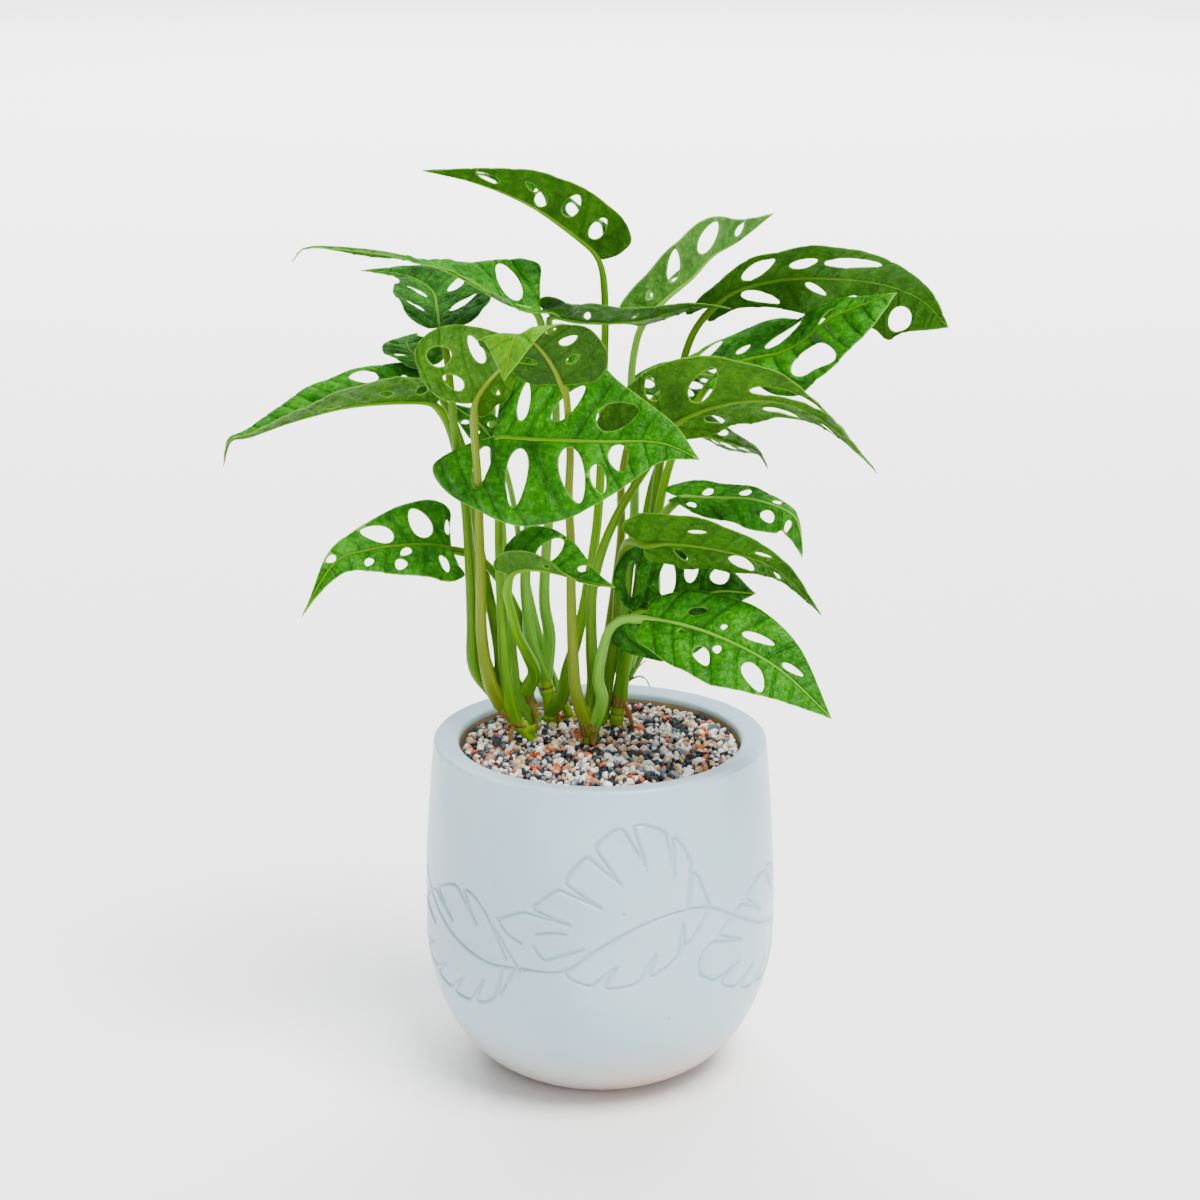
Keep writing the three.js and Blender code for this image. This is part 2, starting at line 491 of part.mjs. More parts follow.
// Triangles between the points such that no other point lies in a triangle's circle.
function triangulate(points) {
  const far = 4000;
  const frame = [[-far, -far], [far, -far], [0, far]].map(([x, y]) => new THREE.Vector2(x, y));
  const all = [...points, ...frame];
  const count = points.length;
  const circleOf = ([i, j, k]) => {
    const [a, b, c] = [all[i], all[j], all[k]];
    const d = 2 * (a.x * (b.y - c.y) + b.x * (c.y - a.y) + c.x * (a.y - b.y));
    const [aa, bb, cc] = [a.lengthSq(), b.lengthSq(), c.lengthSq()];
    const x = (aa * (b.y - c.y) + bb * (c.y - a.y) + cc * (a.y - b.y)) / d;
    const y = (aa * (c.x - b.x) + bb * (a.x - c.x) + cc * (b.x - a.x)) / d;
    return { x, y, reach: (a.x - x) ** 2 + (a.y - y) ** 2 };
  };
  const first = [count, count + 1, count + 2];
  let faces = [{ corners: first, circle: circleOf(first) }];
  points.forEach((point, index) => {
    const edges = new Map();
    faces = faces.filter(({ corners, circle }) => {
      const isClear = (point.x - circle.x) ** 2 + (point.y - circle.y) ** 2 >= circle.reach;
      if (!isClear) {
        corners.forEach((from, k) => {
          const to = corners[(k + 1) % 3];
          const back = `${to},${from}`;
          if (edges.has(back)) edges.delete(back);
          else edges.set(`${from},${to}`, [from, to]);
        });
      }
      return isClear;
    });
    edges.forEach(([from, to]) => {
      const corners = [from, to, index];
      faces.push({ corners, circle: circleOf(corners) });
    });
  });
  return faces.map((face) => face.corners).filter((corners) => corners.every((corner) => corner < count));
}

// The flat blade: points and triangles inside its outline and outside its holes, with the midrib as a line.
function flatBlade(leaf, length) {
  const left = halfOutline(length, leaf.left, 1);
  const right = halfOutline(length, leaf.right, -1).reverse();
  const outline = [...left, ...right.slice(1, -1)];
  const holes = [
    ...(leaf.holesLeft ?? PLAIN_HOLES).map((hole) => holeOutline(length, leaf.left, 1, hole)),
    ...(leaf.holesRight ?? PLAIN_HOLES).map((hole) => holeOutline(length, leaf.right, -1, hole)),
  ];
  const rings = [outline, ...holes];
  const rib = [];
  for (let k = 0; k <= RIB_STEPS; k += 1) rib.push(new THREE.Vector2((length * k) / RIB_STEPS, 0));
  const inner = [];
  const longestLobe = 0.3 * length;
  const rowStep = Math.max(leaf.left[0], leaf.right[0]) / (GRID_ROWS + 0.6);
  for (let x = -longestLobe; x < length; x += GRID_STEP) {
    for (let row = -GRID_ROWS; row <= GRID_ROWS; row += 1) {
      const point = new THREE.Vector2(x + GRID_SHIFT * row, row * rowStep + GRID_SHIFT);
      const nearest = Math.min(...rings.flat().map((p) => p.distanceTo(point)));
      const isOnBlade = isInside(point, outline) && !holes.some((hole) => isInside(point, hole));
      if (row !== 0 && isOnBlade && nearest > GRID_CLEARANCE) inner.push(point);
    }
  }
  const fixed = [...rings, rib];
  for (let attempt = 0; attempt < 12; attempt += 1) {
    const points = [];
    const indexOf = (point) => {
      const found = points.findIndex((p) => p.distanceTo(point) < 1e-6);
      if (found >= 0) return found;
      points.push(point);
      return points.length - 1;
    };
    const loops = fixed.map((ring) => ring.map(indexOf));
    inner.forEach(indexOf);
    const faces = triangulate(points);
    const edges = new Set(faces.flatMap(([a, b, c]) => (
      [[a, b], [b, c], [c, a], [b, a], [c, b], [a, c]].map(String))));
    let isWhole = true;
    loops.forEach((loop, ring) => {
      const isOpen = ring === loops.length - 1;
      for (let k = loop.length - (isOpen ? 2 : 1); k >= 0; k -= 1) {
        const next = (k + 1) % loop.length;
        if (!edges.has(String([loop[k], loop[next]]))) {
          isWhole = false;
          const middle = points[loop[k]].clone().add(points[loop[next]]).multiplyScalar(0.5);
          fixed[ring].splice(k + 1, 0, middle);
        }
      }
    });
    if (isWhole) {
      const kept = faces.filter(([a, b, c]) => {
        const centre = points[a].clone().add(points[b]).add(points[c]).divideScalar(3);
        return isInside(centre, outline) && !holes.some((hole) => isInside(centre, hole));
      });
      return { points, faces: kept };
    }
  }
  throw new Error(`${leaf.name}: its outline and holes cannot be triangulated`);
}

// The blade as a thin solid: the same triangles on both faces, walls along every free edge.
function bladeSolid(leaf, form) {
  const { points, faces } = flatBlade(leaf, form.length);
  const used = [...new Set(faces.flat())];
  const order = new Map(used.map((index, k) => [index, k]));
  const upper = [];
  const lower = [];
  used.forEach((index) => {
    const { x, y } = points[index];
    const middle = form.place(x, y);
    const normal = form.normalAt(x, y);
    const onRib = y === 0 && x >= 0 ? RIB_DEPTH * (1 - x / form.length) : 0;
    upper.push(middle.clone().addScaledVector(normal, BLADE_THICKNESS / 2));
    lower.push(middle.clone().addScaledVector(normal, -BLADE_THICKNESS / 2 - onRib));
  });
  const count = used.length;
  const triangles = [];
  const open = new Map();
  faces.forEach((face) => {
    const [a, b, c] = face.map((index) => order.get(index));
    triangles.push([a, b, c], [count + a, count + c, count + b]);
    [[a, b], [b, c], [c, a]].forEach(([from, to]) => {
      const back = `${to},${from}`;
      if (open.has(back)) open.delete(back);
      else open.set(`${from},${to}`, [from, to]);
    });
  });
  open.forEach(([from, to]) => {
    triangles.push([from, count + from, count + to], [from, count + to, to]);
  });
  return solidOf([...upper, ...lower], triangles);
}

// The petiole, from the stem into the underside of the blade's midrib.
function petioleSolid(leaf, form, stem) {
  const baseRadius = leaf.radius ?? PETIOLE_RADIUS;
  const tipRadius = baseRadius * PETIOLE_THINNING;
  const start = stemPointAt(stem, leaf.joint);
  const neck = form.frameAt(form.length * 0.01);
  const under = form.frameAt(form.length * 0.09);
  const neckPoint = neck.at.addScaledVector(neck.up, -tipRadius * 0.7);
  const underPoint = under.at.addScaledVector(under.up, -tipRadius * 0.35);
  const path = [start, ...leaf.petiole, neckPoint.toArray(), underPoint.toArray()];
  return taperedTube(path, baseRadius, tipRadius, PETIOLE_SIDES, PETIOLE_STEPS);
}

function stemPointAt(stem, height) {
  const { samples } = sampleCurve(stem.path, 40);
  const found = samples.reduce((best, sample) => (
    Math.abs(sample.at.z - height) < Math.abs(best.at.z - height) ? sample : best));
  return found.at.toArray();
}

function stemSolid(stem, extra = 0) {
  const [low, high] = stem.radius;
  return taperedTube(stem.path, low + extra, high + extra, STEM_SIDES, STEM_STEPS);
}

// The pot's outer profile from the foot to the rim.
function outerProfile() {
  const points = [new THREE.Vector2(0, 0), new THREE.Vector2(FOOT_RADIUS, 0)];
  const share = 2 / BELLY_EXPONENT;
  for (let k = 1; k <= POT_LOWER_STEPS; k += 1) {
    const angle = (Math.PI / 2) * (k / POT_LOWER_STEPS);
    points.push(new THREE.Vector2(
      FOOT_RADIUS + (WIDEST_RADIUS - FOOT_RADIUS) * Math.sin(angle) ** share,
      WIDEST_HEIGHT * (1 - Math.cos(angle) ** share),
    ));
  }
  const lipStart = POT_HEIGHT - 4;
  for (let k = 1; k <= POT_UPPER_STEPS; k += 1) {
    const height = THREE.MathUtils.lerp(WIDEST_HEIGHT, lipStart, k / POT_UPPER_STEPS);
    points.push(new THREE.Vector2(outerRadiusAbove(height), height));
  }
  return points;
}

function outerRadiusAbove(height) {
  const share = (height - WIDEST_HEIGHT) / (POT_HEIGHT - WIDEST_HEIGHT);
  return WIDEST_RADIUS + (RIM_RADIUS - WIDEST_RADIUS) * share ** 2;
}

function potGeometry() {
  const lip = [
    new THREE.Vector2(RIM_RADIUS - 0.9, POT_HEIGHT - 1.3),
    new THREE.Vector2(RIM_RADIUS - 3.5, POT_HEIGHT),
    new THREE.Vector2(MOUTH_RADIUS + 1.5, POT_HEIGHT - LIP_DROP + 0.4),
    new THREE.Vector2(MOUTH_RADIUS, POT_HEIGHT - LIP_DROP - 1),
    new THREE.Vector2(MOUTH_RADIUS, COLLAR_HEIGHT),
  ];
  return standingLathe([...outerProfile(), ...lip, ...cavityProfile(0)], POT_SIDES);
}

// The pot's inner profile below the collar, drawn in by a gap: from the shoulder down to the middle.
function cavityProfile(gap) {
  const side = 2 * gap;
  return [
    new THREE.Vector2(outerRadiusAbove(SHOULDER_HEIGHT) - WALL - side, SHOULDER_HEIGHT),
    new THREE.Vector2(WIDEST_RADIUS - WALL - side, WIDEST_HEIGHT),
    ...CAVITY_TURNS.map(([inset, height]) => (
      new THREE.Vector2(WIDEST_RADIUS - WALL - inset - side, height + gap))),
    new THREE.Vector2(FOOT_RADIUS - gap, FLOOR + gap),
    new THREE.Vector2(0, FLOOR + gap),
  ];
}

// A lathe solid about Z.
function standingLathe(profile, sides) {
  return new THREE.LatheGeometry(profile, sides).rotateX(Math.PI / 2);
}

function soilSolid() {
  const rim = MOUTH_RADIUS - 2 * SEAT_GAP;
  const profile = [
    ...cavityProfile(SEAT_GAP).reverse(),
    new THREE.Vector2(rim, COLLAR_HEIGHT - SEAT_GAP),
    new THREE.Vector2(rim, SOIL_TOP),
    new THREE.Vector2(0, SOIL_TOP),
  ];
  return solidOfGeometry(standingLathe(profile, POT_SIDES));
}

// A repeatable value between 0 and 1 for every whole number.
function scatter(seed) {
  const value = Math.sin(seed * 127.1 + 311.7) * 43758.5453;
  return value - Math.floor(value);
}

// The gravel: a shallow mound whose top is raised into grains, larger than life.
function gravelSolid() {
  const outer = MOUTH_RADIUS - 0.7;
  const positions = [new THREE.Vector3(0, 0, GRAVEL_EDGE + GRAVEL_MOUND)];
  const rings = [[0]];
  const ringCount = Math.round(outer / GRAIN_PITCH);
  for (let ring = 1; ring <= ringCount; ring += 1) {
    const radius = (outer * ring) / ringCount;
    const count = ring === ringCount ? POT_SIDES : Math.round((2 * Math.PI * radius) / GRAIN_PITCH);
    const indices = [];
    for (let k = 0; k < count; k += 1) {
      const seed = positions.length;
      const isRim = ring === ringCount;
      const angle = (2 * Math.PI * (k + (isRim ? 0 : 0.5 * scatter(ring)))) / count;
      const mound = GRAVEL_MOUND * (1 - (radius / outer) ** 2);
      const grain = isRim ? 0 : GRAIN_RELIEF * (scatter(seed) - 0.5) * 2;
      positions.push(new THREE.Vector3(
        radius * Math.cos(angle), radius * Math.sin(angle), GRAVEL_EDGE + mound + grain));
      indices.push(seed);
    }
    rings.push(indices);
  }
  const triangles = [];
  for (let ring = 1; ring < rings.length; ring += 1) {
    bridgeRings(rings[ring - 1], rings[ring], positions, triangles);
  }
  const rim = rings[rings.length - 1];
  const low = rim.map((index) => {
    positions.push(new THREE.Vector3(positions[index].x, positions[index].y, SOIL_TOP + SEAT_GAP));
    return positions.length - 1;
  });
  positions.push(new THREE.Vector3(0, 0, SOIL_TOP + SEAT_GAP));
  const centre = positions.length - 1;
  rim.forEach((index, k) => {
    const next = (k + 1) % rim.length;
    triangles.push([index, low[k], low[next]], [index, low[next], rim[next]], [centre, low[next], low[k]]);
  });
  return solidOf(positions, triangles);
}

// Joins two rings of points about Z, the inner one perhaps a single point, with outward triangles.
function bridgeRings(inner, outer, positions, triangles) {
  const angleOf = (index) => {
    const angle = Math.atan2(positions[index].y, positions[index].x);
    return angle < -1e-9 ? angle + 2 * Math.PI : angle;
  };
  const nextAngle = (ring, k) => {
    if (k >= ring.length) return Infinity;
    const turn = k + 1 >= ring.length ? 2 * Math.PI : 0;
    return angleOf(ring[(k + 1) % ring.length]) + turn;
  };
  if (inner.length === 1) {
    outer.forEach((index, k) => triangles.push([inner[0], index, outer[(k + 1) % outer.length]]));
    return;
  }
  let i = 0;
  let j = 0;
  while (i < inner.length || j < outer.length) {
    const innerNext = nextAngle(inner, i);
    const outerNext = nextAngle(outer, j);
    const a = inner[i % inner.length];
    const b = outer[j % outer.length];
    if (outerNext <= innerNext) {
      triangles.push([a, b, outer[(j + 1) % outer.length]]);
      j += 1;
    } else {
      triangles.push([a, b, inner[(i + 1) % inner.length]]);
      i += 1;
    }
  }
}

function addMesh(group, name, geometry, colour, roughness) {
  const material = new THREE.MeshStandardMaterial({ color: colour, roughness, metalness: 0 });
  const mesh = new THREE.Mesh(geometry, material);
  mesh.name = name;
  group.add(mesh);
}

const plant = new THREE.Group();
addMesh(plant, 'pot', geometryOf(solidOfGeometry(potGeometry())), COLOURS.pot, 0.35);

const stemOf = new Map(STEMS.map((stem) => [stem.name, stem]));
let soil = soilSolid();
let gravel = gravelSolid();
STEMS.forEach((stem) => {
  const hole = stemSolid(stem, SEAT_GAP);
  soil = soil.subtract(hole);
  gravel = gravel.subtract(hole);
  addMesh(plant, stem.name, geometryOf(stemSolid(stem)), COLOURS.stem, 0.5);
});
addMesh(plant, 'potting_soil', geometryOf(soil), COLOURS.soil, 0.95);
addMesh(plant, 'gravel', geometryOf(gravel), COLOURS.gravel, 0.8);

LEAVES.forEach((leaf) => {
  const form = bladeForm(leaf);
  const stem = stemOf.get(leaf.stem);
  const petiole = petioleSolid(leaf, form, stem).subtract(stemSolid(stem, SEAT_GAP));
  const whole = bladeSolid(leaf, form).add(petiole);
  const colour = leaf.name === YOUNG_LEAF ? COLOURS.youngLeaf : COLOURS.leaf;
  addMesh(plant, leaf.name, geometryOf(whole), colour, 0.45);
});

export default plant;
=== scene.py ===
# %% [markdown]
# # A potted swiss cheese vine
# A young climbing house plant stands in a round glazed pot. Its leaves have natural holes between their side
# veins, each leaf sits on a long stalk, and the stalks rise from short green stems in coloured gravel.
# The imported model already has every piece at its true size. This lesson dresses each one: it builds a finer
# shape in the same place and gives it the finish of the real thing. Sizes below are in millimetres, apart
# from those of the floor, the lamps and the material nodes, which are in metres, as Blender counts.

import math
import random

import bpy
import numpy as np
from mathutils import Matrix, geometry


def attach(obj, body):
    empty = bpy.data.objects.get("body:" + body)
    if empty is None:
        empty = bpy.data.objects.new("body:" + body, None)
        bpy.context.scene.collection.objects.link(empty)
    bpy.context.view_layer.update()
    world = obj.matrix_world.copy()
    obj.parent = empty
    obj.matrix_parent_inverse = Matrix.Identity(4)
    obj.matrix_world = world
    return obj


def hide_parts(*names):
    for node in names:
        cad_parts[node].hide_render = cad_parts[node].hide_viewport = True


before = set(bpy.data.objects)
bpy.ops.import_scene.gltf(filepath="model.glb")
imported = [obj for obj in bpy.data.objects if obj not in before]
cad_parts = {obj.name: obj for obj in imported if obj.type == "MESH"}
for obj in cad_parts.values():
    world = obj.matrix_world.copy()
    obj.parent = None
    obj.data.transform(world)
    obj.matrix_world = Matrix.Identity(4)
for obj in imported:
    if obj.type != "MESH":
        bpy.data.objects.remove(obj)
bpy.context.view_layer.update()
MM = 0.001
chance = random.Random(7)
bpy.ops.object.select_all(action="DESELECT")

# %% [markdown]
# ## The camera
# The photo looks at the plant from the front and from a little above, about 16 degrees, through a lens of
# about 76 mm. Placing the camera first lets every later piece be compared with the photo at once.

# %% Place the camera
CAMERA_DISTANCE = 1500
CAMERA_TILT = math.radians(16.07)
LOOK_HEIGHT = 292.6
LENS = 75.8
SENSOR_WIDTH = 36
VIEW_END = 100000

camera_y = -CAMERA_DISTANCE * math.cos(CAMERA_TILT)
camera_z = LOOK_HEIGHT + CAMERA_DISTANCE * math.sin(CAMERA_TILT)
bpy.ops.object.camera_add(
    location=(0, camera_y * MM, camera_z * MM), rotation=(math.pi / 2 - CAMERA_TILT, 0, 0))
camera = bpy.context.object
camera.data.lens = LENS
camera.data.sensor_width = SENSOR_WIDTH
camera.data.clip_end = VIEW_END * MM
bpy.context.scene.camera = camera
print("camera at", [round(v, 3) for v in camera.location])

# %% [markdown]
# ## Helpers for materials
# Colours are picked from pictures as sRGB hex values, but the renderer mixes light in linear values, so one
# function turns the first into the second. Patterns start from the real size of a mottle, speck or crumb,
# and one function gives the scale for it. The last two add a node, with its settings and links, and a
# material. Inputs without a name go by their number: on a Map Range node 0 is the value, 1 and 2 are where
# it starts and ends, and 3 and 4 what comes out there. On a Mix of colours 0 is the share, 6 and 7 the two.

# %% Colour, scale and node helpers
def colour(hex_value):
    """An sRGB hex colour as linear red, green, blue and alpha."""
    channels = [int(hex_value[k:k + 2], 16) / 255 for k in (0, 2, 4)]
    linear = [c / 12.92 if c <= 0.04045 else ((c + 0.055) / 1.055) ** 2.4 for c in channels]
    return (*linear, 1)


def pattern_scale(size, unit=1000):
    """The scale, to two figures, of a pattern with features of a size, where one unit is so many mm."""
    return float(f"{unit / size:.2g}")


def add(tree, kind, inputs=None, stops=None, **settings):
    """Adds a node. Inputs are values or sockets to link, stops are (place, colour) on a ramp."""
    made = tree.nodes.new(kind)
    for name, value in settings.items():
        setattr(made, name, value)
    for key, value in (inputs or {}).items():
        if isinstance(value, bpy.types.NodeSocket):
            tree.links.new(value, made.inputs[key])
        else:
            made.inputs[key].default_value = value
    if stops:
        ramp = made.color_ramp.elements
        while len(ramp) < len(stops):
            ramp.new(0.5)
        for element, (place, value) in zip(ramp, stops):
            element.position = place
            element.color = value
    return made


def new_material(name, **surface):
    """A material with its tree, its principled shader and the shader's plain values."""
    material = bpy.data.materials.new(name)
    material.use_nodes = True
    tree = material.node_tree
    shader = next(n for n in tree.nodes if n.type == "BSDF_PRINCIPLED")
    for key, value in surface.items():
        shader.inputs[key.replace("_", " ")].default_value = value
    return material, tree, shader


print("a middle grey in linear light:", round(colour("808080")[0], 3), "a 20 mm pattern:", pattern_scale(20))

# %% [markdown]
# ## Smooth paths
# Stalks, midribs, leaf outlines and roots all follow smooth curves through a few points. The curve passes
# through every point and leaves it in the direction of its two neighbours, as a bent wire would.

# %% A smooth path through points
SPAN_STEPS = 40


def smooth_path(points, count):
    """Evenly spaced points of a smooth curve, their directions and the curve's length."""
    points = np.array(points, float)
    ends = np.vstack([2 * points[0] - points[1], points, 2 * points[-1] - points[-2]])
    pieces = []
    t = np.linspace(0, 1, SPAN_STEPS, endpoint=False)[:, None]
    for i in range(len(points) - 1):
        p0, p1, p2, p3 = ends[i:i + 4]
        leave = (p2 - p0) / 2
        arrive = (p3 - p1) / 2
        pieces.append(p1 + leave * t + (3 * (p2 - p1) - 2 * leave - arrive) * t ** 2
                      + (2 * (p1 - p2) + leave + arrive) * t ** 3)
    dense = np.vstack([*pieces, points[-1:]])
    steps = np.linalg.norm(np.diff(dense, axis=0), axis=1)
    run = np.concatenate([[0], np.cumsum(steps)])
    stations = np.linspace(0, run[-1], count + 1)
    at = np.column_stack([np.interp(stations, run, dense[:, k]) for k in range(dense.shape[1])])
    along = np.gradient(at, axis=0)
    along /= np.linalg.norm(along, axis=1)[:, None]
    return at, along, run[-1]


quarter_round = smooth_path([(10, 0), (7.1, 7.1), (0, 10)], 20)
print("length of a quarter round of radius 10:", round(quarter_round[2], 1))

# %% [markdown]
# ## From points to a piece
# A piece is a mesh whose place is in its points, in metres, so its object stays at the origin. It rides on
# the plant's one body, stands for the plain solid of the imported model, and takes its finish from a slot.

# %% Make a piece from points and faces
def make_piece(name, points, faces, materials, node=None, face_materials=None, sharp=50):
    """A shaded piece from points in millimetres; edges sharper than the angle stay crisp."""
    mesh = bpy.data.meshes.new(name)
    mesh.from_pydata((np.asarray(points, float) * MM).tolist(), [], faces)
    piece = bpy.data.objects.new(name, mesh)
    bpy.context.scene.collection.objects.link(piece)
    for material in materials:
        mesh.materials.append(material)
    if face_materials is not None:
        mesh.polygons.foreach_set("material_index", np.asarray(face_materials, np.int32))
    bpy.ops.object.select_all(action="DESELECT")
    piece.select_set(True)
    bpy.context.view_layer.objects.active = piece
    bpy.ops.object.shade_smooth_by_angle(angle=math.radians(sharp))
    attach(piece, "root")
    if node:
        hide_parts(node)
    return piece

# %% [markdown]
# ## Tubes
# A stalk is a tube: rings of points round a path, joined by faces and closed at both ends. Its own map runs
# round it and along it, with one unit for each 100 mm, so streaks follow the stalk however it bends.

# %% A tube along a path
MAP_UNIT = 100
TUBE_MAP = 1 / MAP_UNIT
FLATTENED_TURN = 0.6


def tube(path, radii, sides, groove=0.0, start_side=(0, -1, 0)):
    """Points, faces and map of a closed tube; a groove flattens its upper side."""
    path = np.asarray(path, float)
    radii = np.asarray(radii, float)
    along = np.gradient(path, axis=0)
    along /= np.linalg.norm(along, axis=1)[:, None]
    steps = np.linalg.norm(np.diff(path, axis=0), axis=1)
    run = np.concatenate([[0], np.cumsum(steps)])
    side = np.array(start_side, float)
    points = []
    for at, forward, radius in zip(path, along, radii):
        side = side - forward * side.dot(forward)
        side = side / np.linalg.norm(side)
        across = np.cross(forward, side)
        for k in range(sides):
            turn = 2 * math.pi * k / sides
            reach = radius * (1 - groove * math.exp(-((turn - math.pi) / FLATTENED_TURN) ** 2))
            points.append(at + reach * (math.cos(turn) * side + math.sin(turn) * across))
    faces = []
    maps = []
    for ring in range(len(path) - 1):
        for k in range(sides):
            a = ring * sides + k
            b = ring * sides + (k + 1) % sides
            faces.append((a, b, b + sides, a + sides))
            maps.append([(k / sides, run[ring]), ((k + 1) / sides, run[ring]),
                         ((k + 1) / sides, run[ring + 1]), (k / sides, run[ring + 1])])
    last = (len(path) - 1) * sides
    faces.append(tuple(reversed(range(sides))))
    maps.append([(0.5, 0)] * sides)
    faces.append(tuple(last + k for k in range(sides)))
    maps.append([(0.5, run[-1])] * sides)
    return points, faces, maps


def add_map(piece, name, corners):
    """A map of the piece from one (u, v) for each corner of each face."""
    layer = piece.data.uv_layers.new(name=name)
    layer.data.foreach_set("uv", np.asarray(corners, np.float32).ravel())


def add_tube_map(piece, maps):
    """The map that the stalk's finish reads: once round the tube, and 100 mm of its length to a unit."""
    add_map(piece, "stalk", [(u, v * TUBE_MAP) for face in maps for u, v in face])


print("faces of a plain tube:", len(tube([(0, 0, 0), (0, 0, 10)], [3, 3], 12)[1]))

# %% [markdown]
# ## The plan of the plant
# Seven short stems carry 23 leaves. Each leaf has a midrib, the side its upper face looks to, and for each
# half: its width, how far it lifts out of the flat at base and tip in degrees, the curl of its edge, the
# lobe behind the stalk, and how much it narrows to the tip. Holes are given as shares of length and width,
# with their own length as a share of the width, breadth in millimetres and slant. Most halves share one
# outline, and two odd lobes bring their own. Each stalk starts at a height on its stem.

# %% Stems and leaves
PLAIN_HOLES = [(0.1, 0.52, 0.5, 7, 88), (0.27, 0.52, 0.56, 9, 74), (0.45, 0.46, 0.5, 9, 64),
               (0.62, 0.32, 0.34, 6, 54)]
SMALL_HOLES = [(0.2, 0.5, 0.45, 4, 75), (0.5, 0.45, 0.4, 4, 65)]

STEMS = [
    dict(name="stem_1", radius=(4.4, 4),
         path=[(-37, 14, 178), (-42, 8, 203), (-56, 5, 221), (-63, 6, 232), (-67, 7, 243)]),
    dict(name="stem_2", radius=(3.4, 2.8),
         path=[(-40, 36, 178), (-40, 35, 204), (-42, 33, 216), (-45, 31, 226)]),
    dict(name="stem_3", radius=(5.4, 4),
         path=[(-29, 39, 178), (-30, 39, 204), (-31, 38, 217), (-34, 38, 232), (-37, 37, 245)]),
    dict(name="stem_4", radius=(3.4, 2.8),
         path=[(-18, 44, 178), (-19, 45, 204), (-24, 46, 215), (-27, 48, 223)]),
    dict(name="stem_5", radius=(5, 4),
         path=[(-6, 0, 178), (-6, 0, 204), (-7, -3, 217), (-8, -4, 228)]),
    dict(name="stem_6", radius=(3.8, 3.4),
         path=[(1, 36, 178), (1, 36, 204), (1, 31, 215), (2, 28, 227)]),
    dict(name="stem_7", radius=(4.6, 4),
         path=[(10, 34, 178), (10, 34, 204), (13, 33, 226), (17, 33, 244), (20, 33, 260)]),
]

